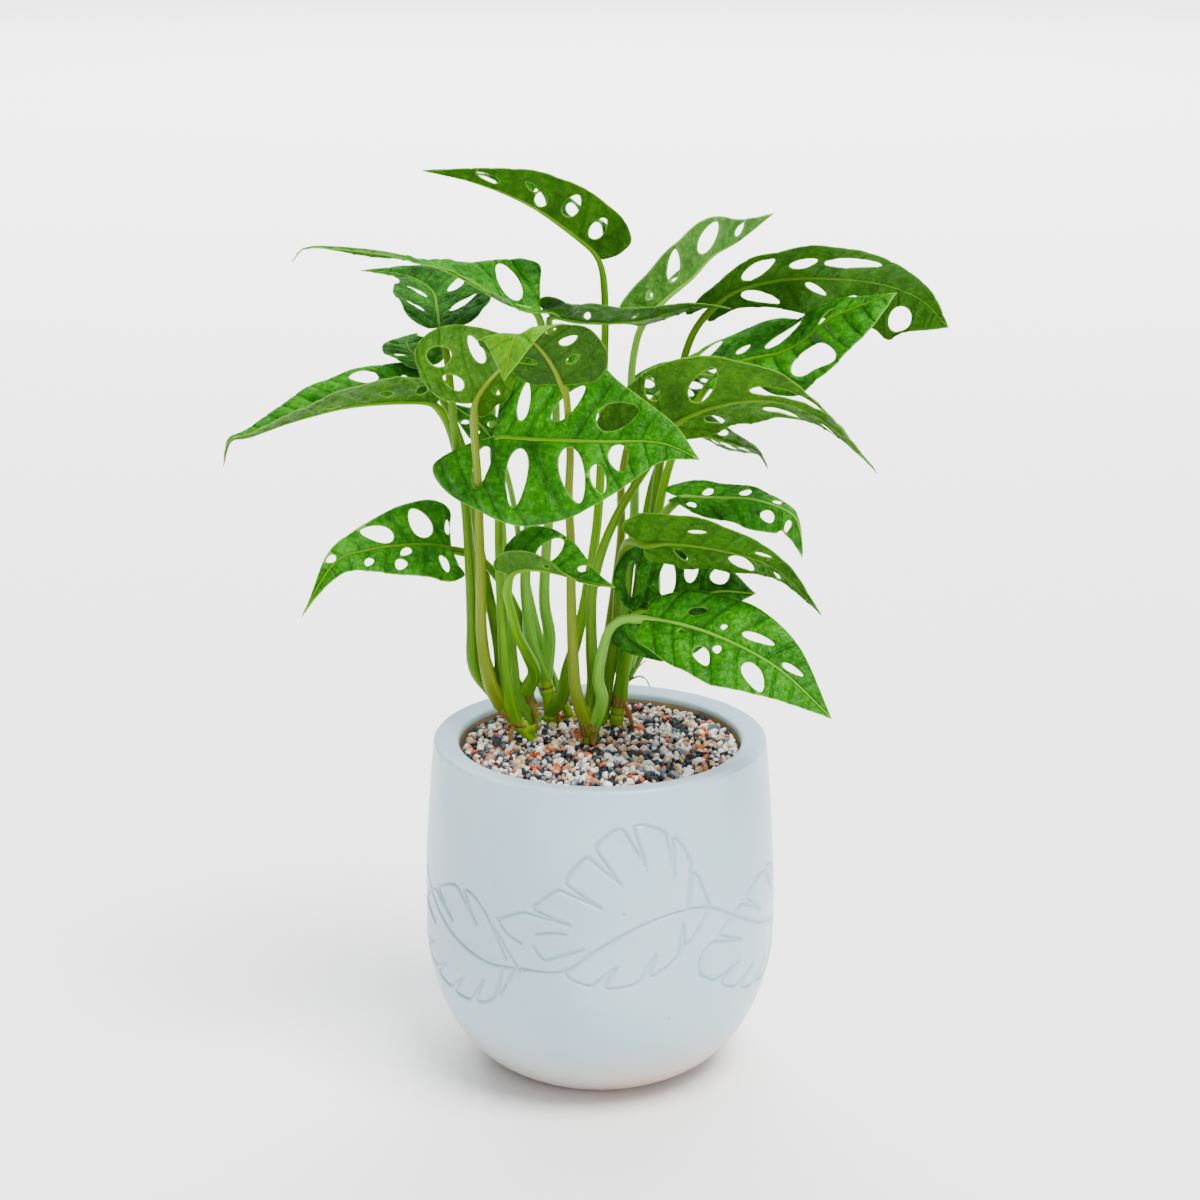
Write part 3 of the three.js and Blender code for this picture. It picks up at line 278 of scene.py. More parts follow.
LEAVES = [
    dict(name="leaf_01", up=(0.1, 0.15, 1), left=(29, 60, 45, -8, 0.04), right=(25, 58, 30, 0, 0.02),
         midrib=[(2, 22, 492), (-14, 18, 506), (-40, 10, 525), (-71, 2, 539), (-100, -6, 547)],
         holes_left=[(0.13, 0.45, 0.56, 8, 80), (0.3, 0.5, 0.56, 9, 78), (0.43, 0.24, 0.36, 7, 60),
                     (0.5, 0.4, 0.3, 4, 20), (0.7, 0.22, 0.5, 5, 5)],
         holes_right=[(0.09, 0.52, 0.66, 9, 80), (0.23, 0.7, 0.44, 10, 80), (0.41, 0.4, 0.6, 8, 70),
                      (0.68, 0.28, 0.5, 6, 5)],
         stem="stem_3", joint=210,
         petiole=[(-23, 29, 223), (-20, 26, 240), (-14, 22, 262), (-8, 20, 292), (-1, 23, 342),
                  (2, 28, 414), (3, 25, 465)]),
    dict(name="leaf_02", up=(0.2, 0.28, 0.96), left=(26, -8, -12, 0, 0.04), right=(42, 66, -55, 0, 0, 0.9),
         midrib=[(-34, 5, 465), (-52, -2, 470), (-84, -14, 490), (-115, -25, 502), (-149, -38, 508),
                 (-164, -44, 508), (-171, -46, 501)],
         holes_right=[(0.13, 0.5, 0.8, 15, 62), (0.42, 0.35, 0.3, 5, 60)],
         stem="stem_3", joint=231,
         petiole=[(-42, 32, 256), (-44, 30, 277), (-45, 29, 303), (-40, 24, 363), (-35, 18, 398),
                  (-33, 12, 438)]),
    dict(name="leaf_03", up=(0.1, -0.5, 0.85), left=(28, 28, 10, 0, 0.1), right=(34, 28, 10, 0, 0.1),
         midrib=[(-93, 8, 455), (-96, 35, 461), (-101, 65, 467), (-118, 85, 473), (-146, 95, 475)],
         holes_left=[(0.15, 0.55, 0.5, 7, 80), (0.42, 0.45, 0.65, 9, 45)],
         holes_right=[(0.2, 0.48, 0.6, 9, 60), (0.48, 0.45, 0.5, 7, 50)],
         stem="stem_1", joint=232,
         petiole=[(-75, -2, 252), (-76, -1, 280), (-77, -3, 317), (-79, -5, 354), (-84, -8, 397),
                  (-86, -7, 420), (-89, 0, 444)]),
    dict(name="leaf_04", up=(0.1, 0.28, 0.96), left=(30, 30, 12, 0, 0), right=(39, 42, 26, 0, 0, 0.2),
         midrib=[(-95, 11, 410), (-118, 2, 412), (-147, -8, 411), (-176, -18, 405), (-200, -27, 398),
                 (-211, -31, 396), (-216, -32, 382)],
         holes_left=[(0.1, 0.5, 0.4, 6, 85), (0.24, 0.4, 0.3, 6, 30), (0.46, 0.2, 0.35, 4, 20)],
         holes_right=[(0.1, 0.45, 0.45, 8, 85), (0.27, 0.74, 0.46, 12, 12), (0.42, 0.2, 0.4, 6, 12)],
         stem="stem_1", joint=240,
         petiole=[(-72, 18, 258), (-75, 18, 288), (-78, 16, 325), (-82, 15, 362), (-88, 13, 392)]),
    dict(name="leaf_05", up=(0, 0.95, -0.1), left=(22, 55, 40, 0, 0.1), right=(44, 2, 0, 12, 0.16),
         midrib=[(-71, -46, 421), (-65, -44, 430), (-57, -39, 438), (-48, -32, 444), (-38, -24, 448)],
         holes_left=[(0.3, 0.45, 0.4, 4, 75)],
         holes_right=[(0.2, 0.7, 0.3, 8, 100), (0.08, 0.36, 0.3, 7, 90), (0.46, 0.4, 0.4, 6, 75)],
         stem="stem_1", joint=226, radius=3.4,
         petiole=[(-66, -10, 246), (-70, -8, 272), (-70, -14, 303), (-70, -21, 342), (-70, -30, 372),
                  (-71, -41, 400)]),
    dict(name="leaf_06", up=(0.3, 0.85, 0.4), left=(29, 10, 0, 0, 0.02, -0.7), right=(27, 10, 0, 0, 0, -1),
         midrib=[(-21, -58, 434), (-27, -66, 448), (-36, -76, 461), (-46, -92, 467), (-52, -104, 445)],
         holes_left=[(0.2, 0.4, 0.3, 4, 70), (0.36, 0.5, 0.36, 6, 75), (0.55, 0.4, 0.25, 4, 60)],
         holes_right=[(0.25, 0.5, 0.5, 6, 75)],
         stem="stem_5", joint=212, radius=3.2,
         petiole=[(-14, -8, 236), (-16, -8, 260), (-17, -8, 297), (-17, -12, 329), (-18, -24, 361),
                  (-17, -33, 388), (-18, -38, 410), (-19, -46, 426)]),
    dict(name="leaf_07", up=(0, -0.85, 0.53), left=(54, 12, 5, 0, 0), right=(50, -8, 5, -15, 0.3),
         midrib=[(-61, -28, 398), (-34, -45, 400), (0, -60, 402), (33, -72, 404), (55, -82, 397)],
         holes_left=[(0.13, 0.4, 0.42, 8, 90), (0.36, 0.4, 0.5, 10, 50), (0.6, 0.28, 0.48, 16, 15),
                     (0.3, 0.78, 0.25, 6, 60)],
         holes_right=[(-0.04, 0.37, 0.5, 11, 100), (0.16, 0.46, 0.68, 14, 88),
                      (0.43, 0.4, 0.68, 14, 68), (0.55, 0.44, 0.36, 8, 68),
                      (0.63, 0.2, 0.34, 11, 68)],
         stem="stem_1", joint=216,
         petiole=[(-56, -2, 240), (-58, -4, 281), (-59, -10, 320), (-59, -18, 358), (-61, -25, 383)]),
    dict(name="leaf_08", up=(-0.6, 0.28, 0.75), left=(31, 30, 10, 0, 0.06), right=(24, 48, 30, 0, 0.3, -0.8),
         midrib=[(33, 45, 461), (53, 55, 475), (67, 64, 488), (83, 73, 496), (104, 84, 511)],
         holes_right=[(-0.01, 0.4, 0.26, 5, 60), (0.22, 0.58, 0.76, 9, 60), (0.5, 0.42, 0.54, 11, 50),
                      (0.73, 0.2, 0.26, 5, 35)],
         stem="stem_7", joint=234,
         petiole=[(12, 40, 256), (15, 43, 275), (17, 45, 295), (20, 45, 318), (21, 44, 355),
                  (19, 46, 392), (19, 46, 422), (24, 45, 448)]),
    dict(name="leaf_09", up=(-0.1, 0.65, 0.75), left=(35, 0, -45, 0, 0.05), right=(21, -6, 0, 0, 0.12, -2.4),
         left_outline=[(0, 0), (-0.5, 0.12), (-1, 0.3), (-0.6, 0.42), (0.1, 0.5), (0.3, 0.74), (0.5, 0.88),
                       (0.7, 0.86), (0.82, 0.9), (0.92, 0.5), (1, 0)],
         midrib=[(66, 18, 467), (80, 20, 475), (112, 18, 482), (155, 12, 481), (184, 9, 472),
                 (202, 6, 455)],
         holes_left=[(0.19, 0.34, 0.74, 9, 35), (0.42, 0.24, 0.42, 5, 35), (0.6, 0.5, 0.5, 10, 30),
                     (0.82, 0.5, 0.56, 16, 5)],
         holes_right=[(0.21, 0.57, 0.84, 12, 45), (0.38, 0.44, 0.44, 10, 30), (0.56, 0.4, 0.62, 11, 8)],
         stem="stem_7", joint=234,
         petiole=[(31, 42, 262), (31, 38, 288), (31, 28, 316), (33, 25, 348), (37, 22, 379),
                  (44, 20, 409), (53, 18, 447)]),
    dict(name="leaf_10", up=(-0.25, -0.3, 1), left=(38, 4, 4, 0, 0.3), right=(47, -19, -8, 0, 0.1),
         right_outline=[(0, 0), (-0.5, 0.1), (-1, 0.24), (-0.6, 0.3), (0.1, 0.34), (0.22, 0.44),
                        (0.34, 0.74), (0.48, 1), (0.64, 1), (0.8, 0.8), (0.9, 0.5), (1, 0)],
         midrib=[(71, 14, 430), (87, 9, 436), (104, 0, 441), (117, -8, 450), (132, -18, 465),
                 (166, -34, 482)],
         holes_left=[(-0.09, 0.6, 0.6, 8, 45), (0.1, 0.35, 0.24, 6, 45), (0.29, 0.54, 0.8, 9, 50),
                     (0.6, 0.22, 0.35, 7, 30)],
         holes_right=[(0.55, 0.55, 0.94, 20, 36)],
         stem="stem_7", joint=248,
         petiole=[(32, 32, 268), (33, 23, 290), (33, 15, 320), (36, 13, 351), (44, 12, 381),
                  (58, 13, 412)]),
    dict(name="leaf_11", up=(0, 0.28, 0.96), left=(34, 10, 0, 0, 0.04), right=(28, 18, 5, 0, 0.04),
         midrib=[(-31, 10, 463), (-12, 8, 458), (23, 2, 460), (52, -4, 469), (75, -8, 469)],
         holes_right=[(0.24, 0.4, 0.4, 4, 75), (0.5, 0.35, 0.34, 3, 60)],
         stem="stem_3", joint=232,
         petiole=[(-31, 40, 257), (-34, 39, 282), (-32, 37, 320), (-28, 33, 358), (-26, 28, 396),
                  (-28, 18, 444)]),
    dict(name="leaf_12", up=(-0.1, 0.5, 0.85), left=(30, -8, -4, 0, 0.05), right=(40, 38, -6, 0, 0.3),
         midrib=[(41, -30, 406), (63, -40, 418), (90, -50, 424), (112, -58, 421), (133, -66, 409),
                 (155, -72, 387)],
         holes_left=[(0.15, 0.5, 0.5, 8, 70), (0.48, 0.5, 0.8, 8, 12), (0.72, 0.3, 0.4, 4, 15)],
         holes_right=[(0.03, 0.65, 0.45, 9, 60), (0.22, 0.45, 0.75, 11, 50), (0.54, 0.3, 1.1, 9, 10)],
         stem="stem_5", joint=216, radius=3.4,
         petiole=[(-4, 0, 240), (-5, -2, 262), (-5, -4, 294), (-1, -6, 317), (6, -9, 338),
                  (16, -14, 359), (32, -22, 386)]),
    dict(name="leaf_13", up=(0, 0.5, 0.85), left=(24, 10, 0, 0, 0.05), right=(24, 20, 0, 0, 0.05),
         midrib=[(50, 34, 388), (64, 30, 386), (80, 25, 382), (93, 20, 379), (100, 16, 369)],
         holes_right=[(0.15, 0.45, 0.4, 5, 70), (0.42, 0.45, 0.5, 6, 55)],
         stem="stem_7", joint=251,
         petiole=[(22, 44, 273), (24, 44, 292), (26, 39, 320), (31, 36, 352), (38, 36, 374),
                  (44, 35, 383)]),
    dict(name="leaf_14", up=(0, 0.1, 1), left=(24, 18, 5, 0, 0.1), right=(15, -10, -60, 0, 0.05, -2),
         midrib=[(46, 0, 356), (67, -4, 356), (90, -8, 356), (111, -12, 349), (117, -13, 338),
                 (119, -14, 322)],
         holes_left=[(0.17, 0.4, 0.5, 6, 80), (0.4, 0.45, 0.45, 6, 70), (0.6, 0.35, 0.35, 4, 60)],
         holes_right=[(0.1, 0.55, 0.4, 5, 50), (0.58, 0.3, 0.3, 9, 40), (0.76, 0.2, 0.26, 6, 25)],
         stem="stem_7", joint=242,
         petiole=[(21, 22, 260), (27, 14, 288), (28, 7, 309), (33, 3, 337)]),
    dict(name="leaf_15", up=(0, 0.6, 0.8), left=(30, -8, -5, 0, 0.05), right=(32, 14, 5, 0, 0.08),
         midrib=[(27, -32, 336), (43, -38, 338), (76, -48, 335), (103, -56, 326), (127, -60, 301)],
         holes_left=[(0.16, 0.45, 0.45, 6, 70), (0.49, 0.37, 0.6, 14, 50), (0.7, 0.25, 0.25, 4, 40)],
         holes_right=[(0.28, 0.5, 0.36, 4, 15), (0.6, 0.3, 0.3, 4, 20)],
         stem="stem_6", joint=212,
         petiole=[(5, 28, 236), (8, 18, 257), (10, 9, 278), (11, 6, 299), (13, 3, 318), (17, -10, 331)]),
    dict(name="leaf_16", up=(0, -0.88, 0.47), left=(42, 0, 0, 0, 0.13), right=(36, -40, -25, 0, 0.25),
         midrib=[(20, -22, 291), (35, -24, 295), (52, -26, 301), (70, -28, 306), (91, -30, 305)],
         holes_left=[(0.03, 0.48, 0.5, 7, 82), (0.33, 0.37, 0.52, 10, 68), (0.54, 0.44, 0.48, 8, 68),
                     (0.72, 0.23, 0.26, 9, 60)],
         holes_right=[(0.1, 0.5, 0.4, 5, 80), (0.4, 0.45, 0.4, 6, 65)],
         stem="stem_7", joint=222,
         petiole=[(14, 23, 240), (17, 9, 257), (19, -5, 273)]),
    dict(name="leaf_17", up=(0.1, -0.5, 0.85), left=(16, 30, 20, 0, 0, -1.8), right=(21, -5, 0, 0, 0, -1.8),
         midrib=[(26, -38, 293), (49, -50, 292), (75, -64, 286), (102, -78, 274), (131, -90, 249)],
         holes_left=[(0.23, 0.45, 0.5, 5, 25), (0.37, 0.25, 0.15, 3, 40), (0.53, 0.29, 0.62, 5, 8),
                     (0.73, 0.13, 0.36, 4, 10)],
         holes_right=[(0.2, 0.18, 0.14, 3, 20), (0.36, 0.5, 0.46, 9, 40), (0.4, 0.24, 0.18, 5, 60),
                      (0.62, 0.32, 0.5, 11, 32)],
         stem="stem_5", joint=208,
         petiole=[(1, -10, 232), (-1, -12, 246), (0, -17, 260), (4, -24, 278), (9, -30, 287),
                  (16, -34, 291)]),
    dict(name="leaf_18", up=(0.1, -0.3, 0.9), left=(32, -15, -10, 0, 0, 0.6), right=(32, 45, 5, 0, 0, 0.8),
         midrib=[(-89, 22, 319), (-99, 14, 323), (-115, 2, 326), (-136, -10, 326), (-155, -22, 321),
                 (-174, -34, 292)],
         holes_left=[(0.1, 0.5, 0.46, 7, 80), (0.3, 0.2, 0.36, 5, 30), (0.36, 0.6, 0.4, 7, 50),
                     (0.52, 0.4, 0.35, 5, 40)],
         holes_right=[(0.02, 0.4, 0.3, 4, 90), (0.17, 0.5, 0.7, 14, 70), (0.41, 0.44, 0.9, 11, 25),
                      (0.68, 0.25, 0.4, 5, 15)],
         stem="stem_3", joint=222,
         petiole=[(-40, 47, 238), (-43, 44, 250), (-47, 38, 264), (-53, 30, 282), (-61, 27, 298),
                  (-74, 26, 312)]),
    dict(name="leaf_19", up=(0, -0.5, 0.85), left=(28, 20, 10, 0, 0.08), right=(15, 110, 20, 0, 0.1),
         midrib=[(-53, -31, 317), (-42, -37, 322), (-25, -42, 321), (-9, -46, 317), (9, -50, 315)],
         holes_left=[(0.36, 0.5, 0.66, 11, 60), (0.68, 0.3, 0.3, 4, 30)],
         holes_right=[(0.4, 0.45, 0.4, 3, 60)],
         stem="stem_2", joint=226,
         petiole=[(-40, 23, 240), (-44, 8, 257), (-49, -6, 273), (-52, -17, 290), (-54, -26, 304)]),
    dict(name="leaf_20", up=(0, 0.4, 0.9), left=(28, 10, 0, 0, 0.05), right=(28, 20, 0, 0, 0.05),
         midrib=[(-65, 34, 413), (-52, 40, 420), (-35, 46, 424), (-15, 52, 424), (0, 56, 416)],
         stem="stem_2", joint=204,
         petiole=[(-51, 32, 226), (-53, 25, 244), (-54, 18, 264), (-56, 14, 289), (-58, 20, 320),
                  (-60, 28, 350), (-64, 33, 390)]),
    dict(name="leaf_21", up=(0, -0.4, 0.9), left=(17, 20, 5, 0, 0.1), right=(17, 15, 5, 0, 0.1),
         midrib=[(-105, 36, 428), (-113, 52, 432), (-117, 70, 434), (-116, 90, 435), (-112, 102, 435)],
         holes_left=SMALL_HOLES,
         holes_right=SMALL_HOLES,
         stem="stem_1", joint=228,
         petiole=[(-60, 14, 252), (-67, 32, 284), (-74, 40, 320), (-78, 40, 357), (-86, 38, 388),
                  (-98, 35, 415)]),
    dict(name="leaf_22", up=(0, -0.2, 1), left=(24, 10, 0, 0, 0.05), right=(24, -5, 0, 0, 0.05),
         midrib=[(32, 40, 408), (46, 50, 415), (63, 58, 417), (81, 64, 411)],
         stem="stem_6", joint=206,
         petiole=[(3, 42, 228), (6, 47, 260), (10, 51, 290), (13, 51, 320), (13, 46, 354),
                  (19, 38, 385)]),
    dict(name="leaf_23", up=(0, -0.4, 0.9), left=(12, 10, 0, 0, 0.05), right=(12, 10, 0, 0, 0.05),
         midrib=[(-64, 2, 391), (-71, 8, 398), (-80, 14, 403), (-89, 20, 408)],
         holes_left=SMALL_HOLES,
         holes_right=SMALL_HOLES,
         stem="stem_4", joint=214, radius=2.4,
         petiole=[(-32, 53, 234), (-38, 56, 254), (-44, 52, 284), (-49, 42, 318), (-52, 24, 348),
                  (-57, 10, 374)]),
]

# %% [markdown]
# ## How a flat leaf bends
# A blade starts flat, with the midrib along x and the halves across y. It is then laid along the midrib's
# curve: each half leaves the midrib at its own lift and curls. Reading the form from a few numbers for each
# leaf keeps the fine blade exactly where the plain solid is.

# %% The form of a blade
class BladeForm:
    """Lays flat points of one leaf onto its midrib."""

    def __init__(self, leaf, steps=96):
        self.steps = steps
        self.at, self.along, self.length = smooth_path(leaf["midrib"], steps)
        up = np.array(leaf["up"], float)
        ups = []
        for forward in self.along:
            up = up - forward * up.dot(forward)
            up = up / np.linalg.norm(up)
            ups.append(up)
        self.up = np.array(ups)
        self.halves = {1: leaf["left"], -1: leaf["right"]}

    def frame_at(self, x):
        place = np.clip(x / self.length, 0, 1) * self.steps
        index = np.minimum(place.astype(int), self.steps - 1)
        share = (place - index)[:, None]
        at = self.at[index] * (1 - share) + self.at[index + 1] * share
        along = self.along[index] * (1 - share) + self.along[index + 1] * share
        along /= np.linalg.norm(along, axis=1)[:, None]
        up = self.up[index] * (1 - share) + self.up[index + 1] * share
        up /= np.linalg.norm(up, axis=1)[:, None]
        at = at + along * np.minimum(x, 0)[:, None]
        return at, along, up, np.cross(up, along)

    def place(self, x, y, side):
        """Points in space of flat points; side is 1 for the left half and -1 for the right."""
        at, _, up, left = self.frame_at(x)
        share = np.clip(x / self.length, 0, 1)
        spot = np.zeros_like(at)
        for half, (width, lift_base, lift_tip, curl, *_) in self.halves.items():
            mine = side == half
            lift = np.radians(lift_base + (lift_tip - lift_base) * share[mine])
            bend = math.radians(curl) / width
            reach = np.abs(y[mine])
            if abs(bend) > 1e-6:
                out = (np.sin(lift + bend * reach) - np.sin(lift)) / bend
                rise = (np.cos(lift) - np.cos(lift + bend * reach)) / bend
            else:
                out = reach * np.cos(lift)
                rise = reach * np.sin(lift)
            spot[mine] = at[mine] + half * out[:, None] * left[mine] + rise[:, None] * up[mine]
        return spot

    def normal(self, x, y, side):
        """The upward direction of the bent blade at flat points."""
        total = np.zeros((len(x), 3))
        on_rib = np.abs(y) < 1e-6
        for half in (1, -1):
            mine = (side == half) | on_rib
            xs, ys = x[mine], y[mine]
            sides = np.full(len(xs), half)
            forward = self.place(xs + 0.5, ys, sides) - self.place(xs - 0.5, ys, sides)
            outward = (self.place(xs, ys + half * 0.5, sides) - self.place(xs, ys, sides)) * half
            up = np.cross(forward, outward)
            total[mine] += up / np.linalg.norm(up, axis=1)[:, None]
        return total / np.linalg.norm(total, axis=1)[:, None]

# %% [markdown]
# ## The flat leaf
# The outline of each half is a smooth curve through a few points, and each hole is a long oval, a little
# narrower at its outer end. The blade is filled with small, nearly equal triangles, because the puckers
# between the side veins and the waves of the edge need points everywhere, not only along the outline.

# %% Outline and holes
HALF_OUTLINE = [(0, 0), (-0.5, 0.13), (-1, 0.4), (-0.6, 0.72), (0.1, 0.96), (0.26, 1),
                (0.46, 0.86), (0.64, 0.58), (0.79, 0.31), (0.91, 0.12), (1, 0)]
EDGE_STEP = 1.6
FEWEST_HOLE_POINTS = 14
HOLE_NARROWING = 0.25


def half_taper(half):
    """How much a half narrows to the tip, which is its last number where it has one."""
    return half[5] if len(half) > 5 else 0


def half_outline(length, half, side, outline):
    """Flat points along the margin of one half, from the stalk to the tip."""
    width, _, _, _, lobe, *_ = half
    points = [(length * (a * lobe if a < 0 else a), side * width * b * (1 - half_taper(half) * max(a, 0)))
              for a, b in outline]
    _, _, run = smooth_path(points, 10)
    return smooth_path(points, round(run / EDGE_STEP))[0]


def hole_outline(length, half, side, hole):
    """Flat points round one hole."""
    along, across, share, breadth, slant = hole
    width = half[0] * (1 - half_taper(half) * max(along, 0))
    reach = share * width / 2
    turn = math.radians(slant)
    axis = np.array([math.cos(turn), side * math.sin(turn)])
    cross = np.array([-axis[1], axis[0]])
    count = max(FEWEST_HOLE_POINTS, round(math.pi * (reach + breadth / 2) / EDGE_STEP))
    angles = np.arange(count) * 2 * math.pi / count
    centre = np.array([along * length, side * across * width])
    narrowing = 1 - HOLE_NARROWING * np.cos(angles)
    return (centre + axis * (reach * np.cos(angles))[:, None]
            + cross * (breadth / 2 * np.sin(angles) * narrowing)[:, None])


sample = half_outline(80, (20, 0, 0, 0, 0.1), 1, HALF_OUTLINE)
print("points along half a leaf of 80 mm:", len(sample))

# %% Fill the flat blade
FILL_STEP = 2.0
ROW_SHARE = 0.87
RIB_CLEARANCE = 0.5
EDGE_CLEARANCE = 0.55


def inside(points, ring):
    """Which points lie inside a closed ring."""
    x, y = points[:, 0], points[:, 1]
    found = np.zeros(len(points), bool)
    for (ax, ay), (bx, by) in zip(ring, np.roll(ring, 1, axis=0)):
        if ay == by:
            continue
        crosses = (ay > y) != (by > y)
        found ^= crosses & (x < (bx - ax) * (y - ay) / (by - ay) + ax)
    return found


def flat_blade(leaf, length):
    """Flat points, triangles, and each point's distance to the nearest edge."""
    left = half_outline(length, leaf["left"], 1, leaf.get("left_outline", HALF_OUTLINE))
    right = half_outline(length, leaf["right"], -1, leaf.get("right_outline", HALF_OUTLINE))[::-1]
    outline = np.vstack([left, right[1:-1]])
    holes = [hole_outline(length, leaf["left"], 1, h) for h in leaf.get("holes_left", PLAIN_HOLES)]
    holes += [hole_outline(length, leaf["right"], -1, h) for h in leaf.get("holes_right", PLAIN_HOLES)]
    rings = [outline, *holes]
    rib_count = round(length / EDGE_STEP)
    rib = np.column_stack([np.linspace(0, length, rib_count + 1)[1:-1], np.zeros(rib_count - 1)])
    low, high = outline.min(0), outline.max(0)
    rows = []
    for row, y in enumerate(np.arange(low[1], high[1], FILL_STEP * ROW_SHARE)):
        shift = FILL_STEP / 2 if row % 2 else 0
        xs = np.arange(low[0] + shift, high[0], FILL_STEP)
        rows.append(np.column_stack([xs, np.full(len(xs), y)]))
    grid = np.vstack(rows)
    keep = inside(grid, outline) & (np.abs(grid[:, 1]) > FILL_STEP * RIB_CLEARANCE)
    for hole in holes:
        keep &= ~inside(grid, hole)
    grid = grid[keep]
    edge = np.vstack(rings)
    gap = np.min(np.linalg.norm(grid[:, None] - edge[None], axis=2), axis=1)
    grid = grid[gap > FILL_STEP * EDGE_CLEARANCE]
    points = np.vstack([edge, rib, grid])
    edges = []
    start = 0
    for ring in rings:
        edges += [(start + k, start + (k + 1) % len(ring)) for k in range(len(ring))]
        start += len(ring)
    tip = len(left) - 1
    chain = [0, *range(start, start + len(rib)), tip]
    edges += list(zip(chain[:-1], chain[1:]))
    found = geometry.delaunay_2d_cdt([tuple(p) for p in points], edges, [], 0, 1e-4)
    points = np.array([tuple(p) for p in found[0]])
    faces = np.array(found[2])
    centres = points[faces].mean(1)
    keep = inside(centres, outline)
    for hole in holes:
        keep &= ~inside(centres, hole)
    faces = faces[keep]
    gap = np.min(np.linalg.norm(points[:, None] - edge[None], axis=2), axis=1)
    return points, faces, gap


print("flat points of leaf 7:", len(flat_blade(LEAVES[6], BladeForm(LEAVES[6]).length)[0]))

# %% [markdown]
# ## Veins, puckers and waves
# Side veins run between the holes, leaning toward the tip. One number, the vein count, grows by one from
# each side vein to the next, so the same number places the sunken veins and the soft puckers between them,
# in the shape here and in the colour later. Smaller puckers of a few millimetres lie over the large ones,
# the free edges roll a little downward, and the margin waves as tissue grows faster than the midrib.

# %% Side veins
VEIN_LEAN = 0.38
VEIN_CURVE = 0.006
VEIN_SPACING = 13
LEAST_SPACING = 7
VEINS_BEFORE, VEINS_AFTER = 6, 11


def vein_counter(leaf, length, side):
    """A function from flat points of one half to their vein count."""
    half = leaf["left"] if side > 0 else leaf["right"]
    holes = leaf.get("holes_left" if side > 0 else "holes_right", PLAIN_HOLES)
    taper = half_taper(half)

    def slanted(x, reach):
        return x - VEIN_LEAN * reach - VEIN_CURVE * reach ** 2

    centres = []
    for along, across, *_ in sorted(holes):
        reach = across * half[0] * (1 - taper * max(along, 0))
        centre = slanted(along * length, reach)
        if not centres or centre - centres[-1] > LEAST_SPACING:
            centres.append(centre)
    veins = [(a + b) / 2 for a, b in zip(centres[:-1], centres[1:])]
    first = veins[0] if veins else centres[0] + VEIN_SPACING / 2
    last = veins[-1] if veins else first
    veins = [first - VEIN_SPACING * k for k in range(VEINS_BEFORE, 0, -1)] + veins
    if not centres[1:]:
        veins.append(first)
    veins += [last + VEIN_SPACING * k for k in range(1, VEINS_AFTER + 1)]
    return lambda x, reach: np.interp(slanted(x, reach), veins, np.arange(len(veins)))


print("space between side veins:", VEIN_SPACING, "mm, or what the holes leave")

# %% Relief of the upper face
PUCKER_HEIGHT = 1.5
PUCKER_FROM_RIB, PUCKER_FROM_EDGE = 9, 7
SMALL_PUCKER = 0.5
SMALL_FROM_RIB, SMALL_FROM_EDGE = 6, 5
WAVE_COUNT = 8
WAVE_SUM = 2.8
SHORTEST_WAVE, LONGEST_WAVE = 6, 11
VEIN_DEPTH = 0.45
VEIN_WIDTH = 0.8
VEIN_FROM_RIB = 3
RIB_GROOVE = 0.8
RIB_GROOVE_WIDTH = 1.2
EDGE_WAVE = 0.8
WAVE_START, WAVE_GROWTH = 0.4, 0.5
FAST_WAVE, SLOW_WAVE = 5.2, 9.7
EDGE_ROLL = 0.7
ROLL_WIDTH = 1.8
ROLL_FROM_RIB = 5


def small_puckers(x, y):
    """Uneven bulges a few millimetres wide, from crossing waves in several directions."""
    total = np.zeros(len(x))
    for _ in range(WAVE_COUNT):
        turn = chance.uniform(0, 2 * math.pi)
        wave_length = chance.uniform(SHORTEST_WAVE, LONGEST_WAVE)
        phase = chance.uniform(0, 2 * math.pi)
        total += np.sin(2 * math.pi * (x * math.cos(turn) + y * math.sin(turn)) / wave_length + phase)
    return total / WAVE_SUM


def relief(leaf, form, points, gap):
    """Height of the real surface over the smooth form, for every flat point."""
    x, y = points[:, 0], points[:, 1]
    reach = np.abs(y)
    height = (SMALL_PUCKER * small_puckers(x, y) * np.clip(reach / SMALL_FROM_RIB, 0.1, 1)
              * np.clip(gap / SMALL_FROM_EDGE, 0.1, 1))
    for side in (1, -1):
        mine = y * side > 0
        count = vein_counter(leaf, form.length, side)(x[mine], reach[mine])
        half = form.halves[side]
        width = half[0] * (1 - half_taper(half) * np.clip(x[mine] / form.length, 0, 1))
        fade = np.clip(reach[mine] / PUCKER_FROM_RIB, 0, 1) * np.clip(gap[mine] / PUCKER_FROM_EDGE, 0.04, 1)
        pucker = 0.5 - 0.5 * np.cos(2 * math.pi * count)
        off_vein = np.abs((count + 0.5) % 1 - 0.5) * VEIN_SPACING
        vein = np.exp(-(off_vein / VEIN_WIDTH) ** 2) * np.clip(reach[mine] / VEIN_FROM_RIB, 0, 1)
        share = reach[mine] / width
        phase = chance.uniform(0, 2 * math.pi)
        wave = np.sin(x[mine] / FAST_WAVE + phase) + 0.6 * np.sin(x[mine] / SLOW_WAVE + 2 * phase)
        rim = np.clip((share - WAVE_START) / WAVE_GROWTH, 0, 1) ** 1.5
        height[mine] += PUCKER_HEIGHT * pucker * fade - VEIN_DEPTH * vein + EDGE_WAVE * wave * rim
    height -= EDGE_ROLL * np.exp(-(gap / ROLL_WIDTH) ** 2) * np.clip(reach / ROLL_FROM_RIB, 0, 1)
    height -= RIB_GROOVE * np.exp(-(reach / RIB_GROOVE_WIDTH) ** 2) * (x > 0)
    return height


print("relief:", PUCKER_HEIGHT, "mm between veins,", VEIN_DEPTH, "mm deep along them")

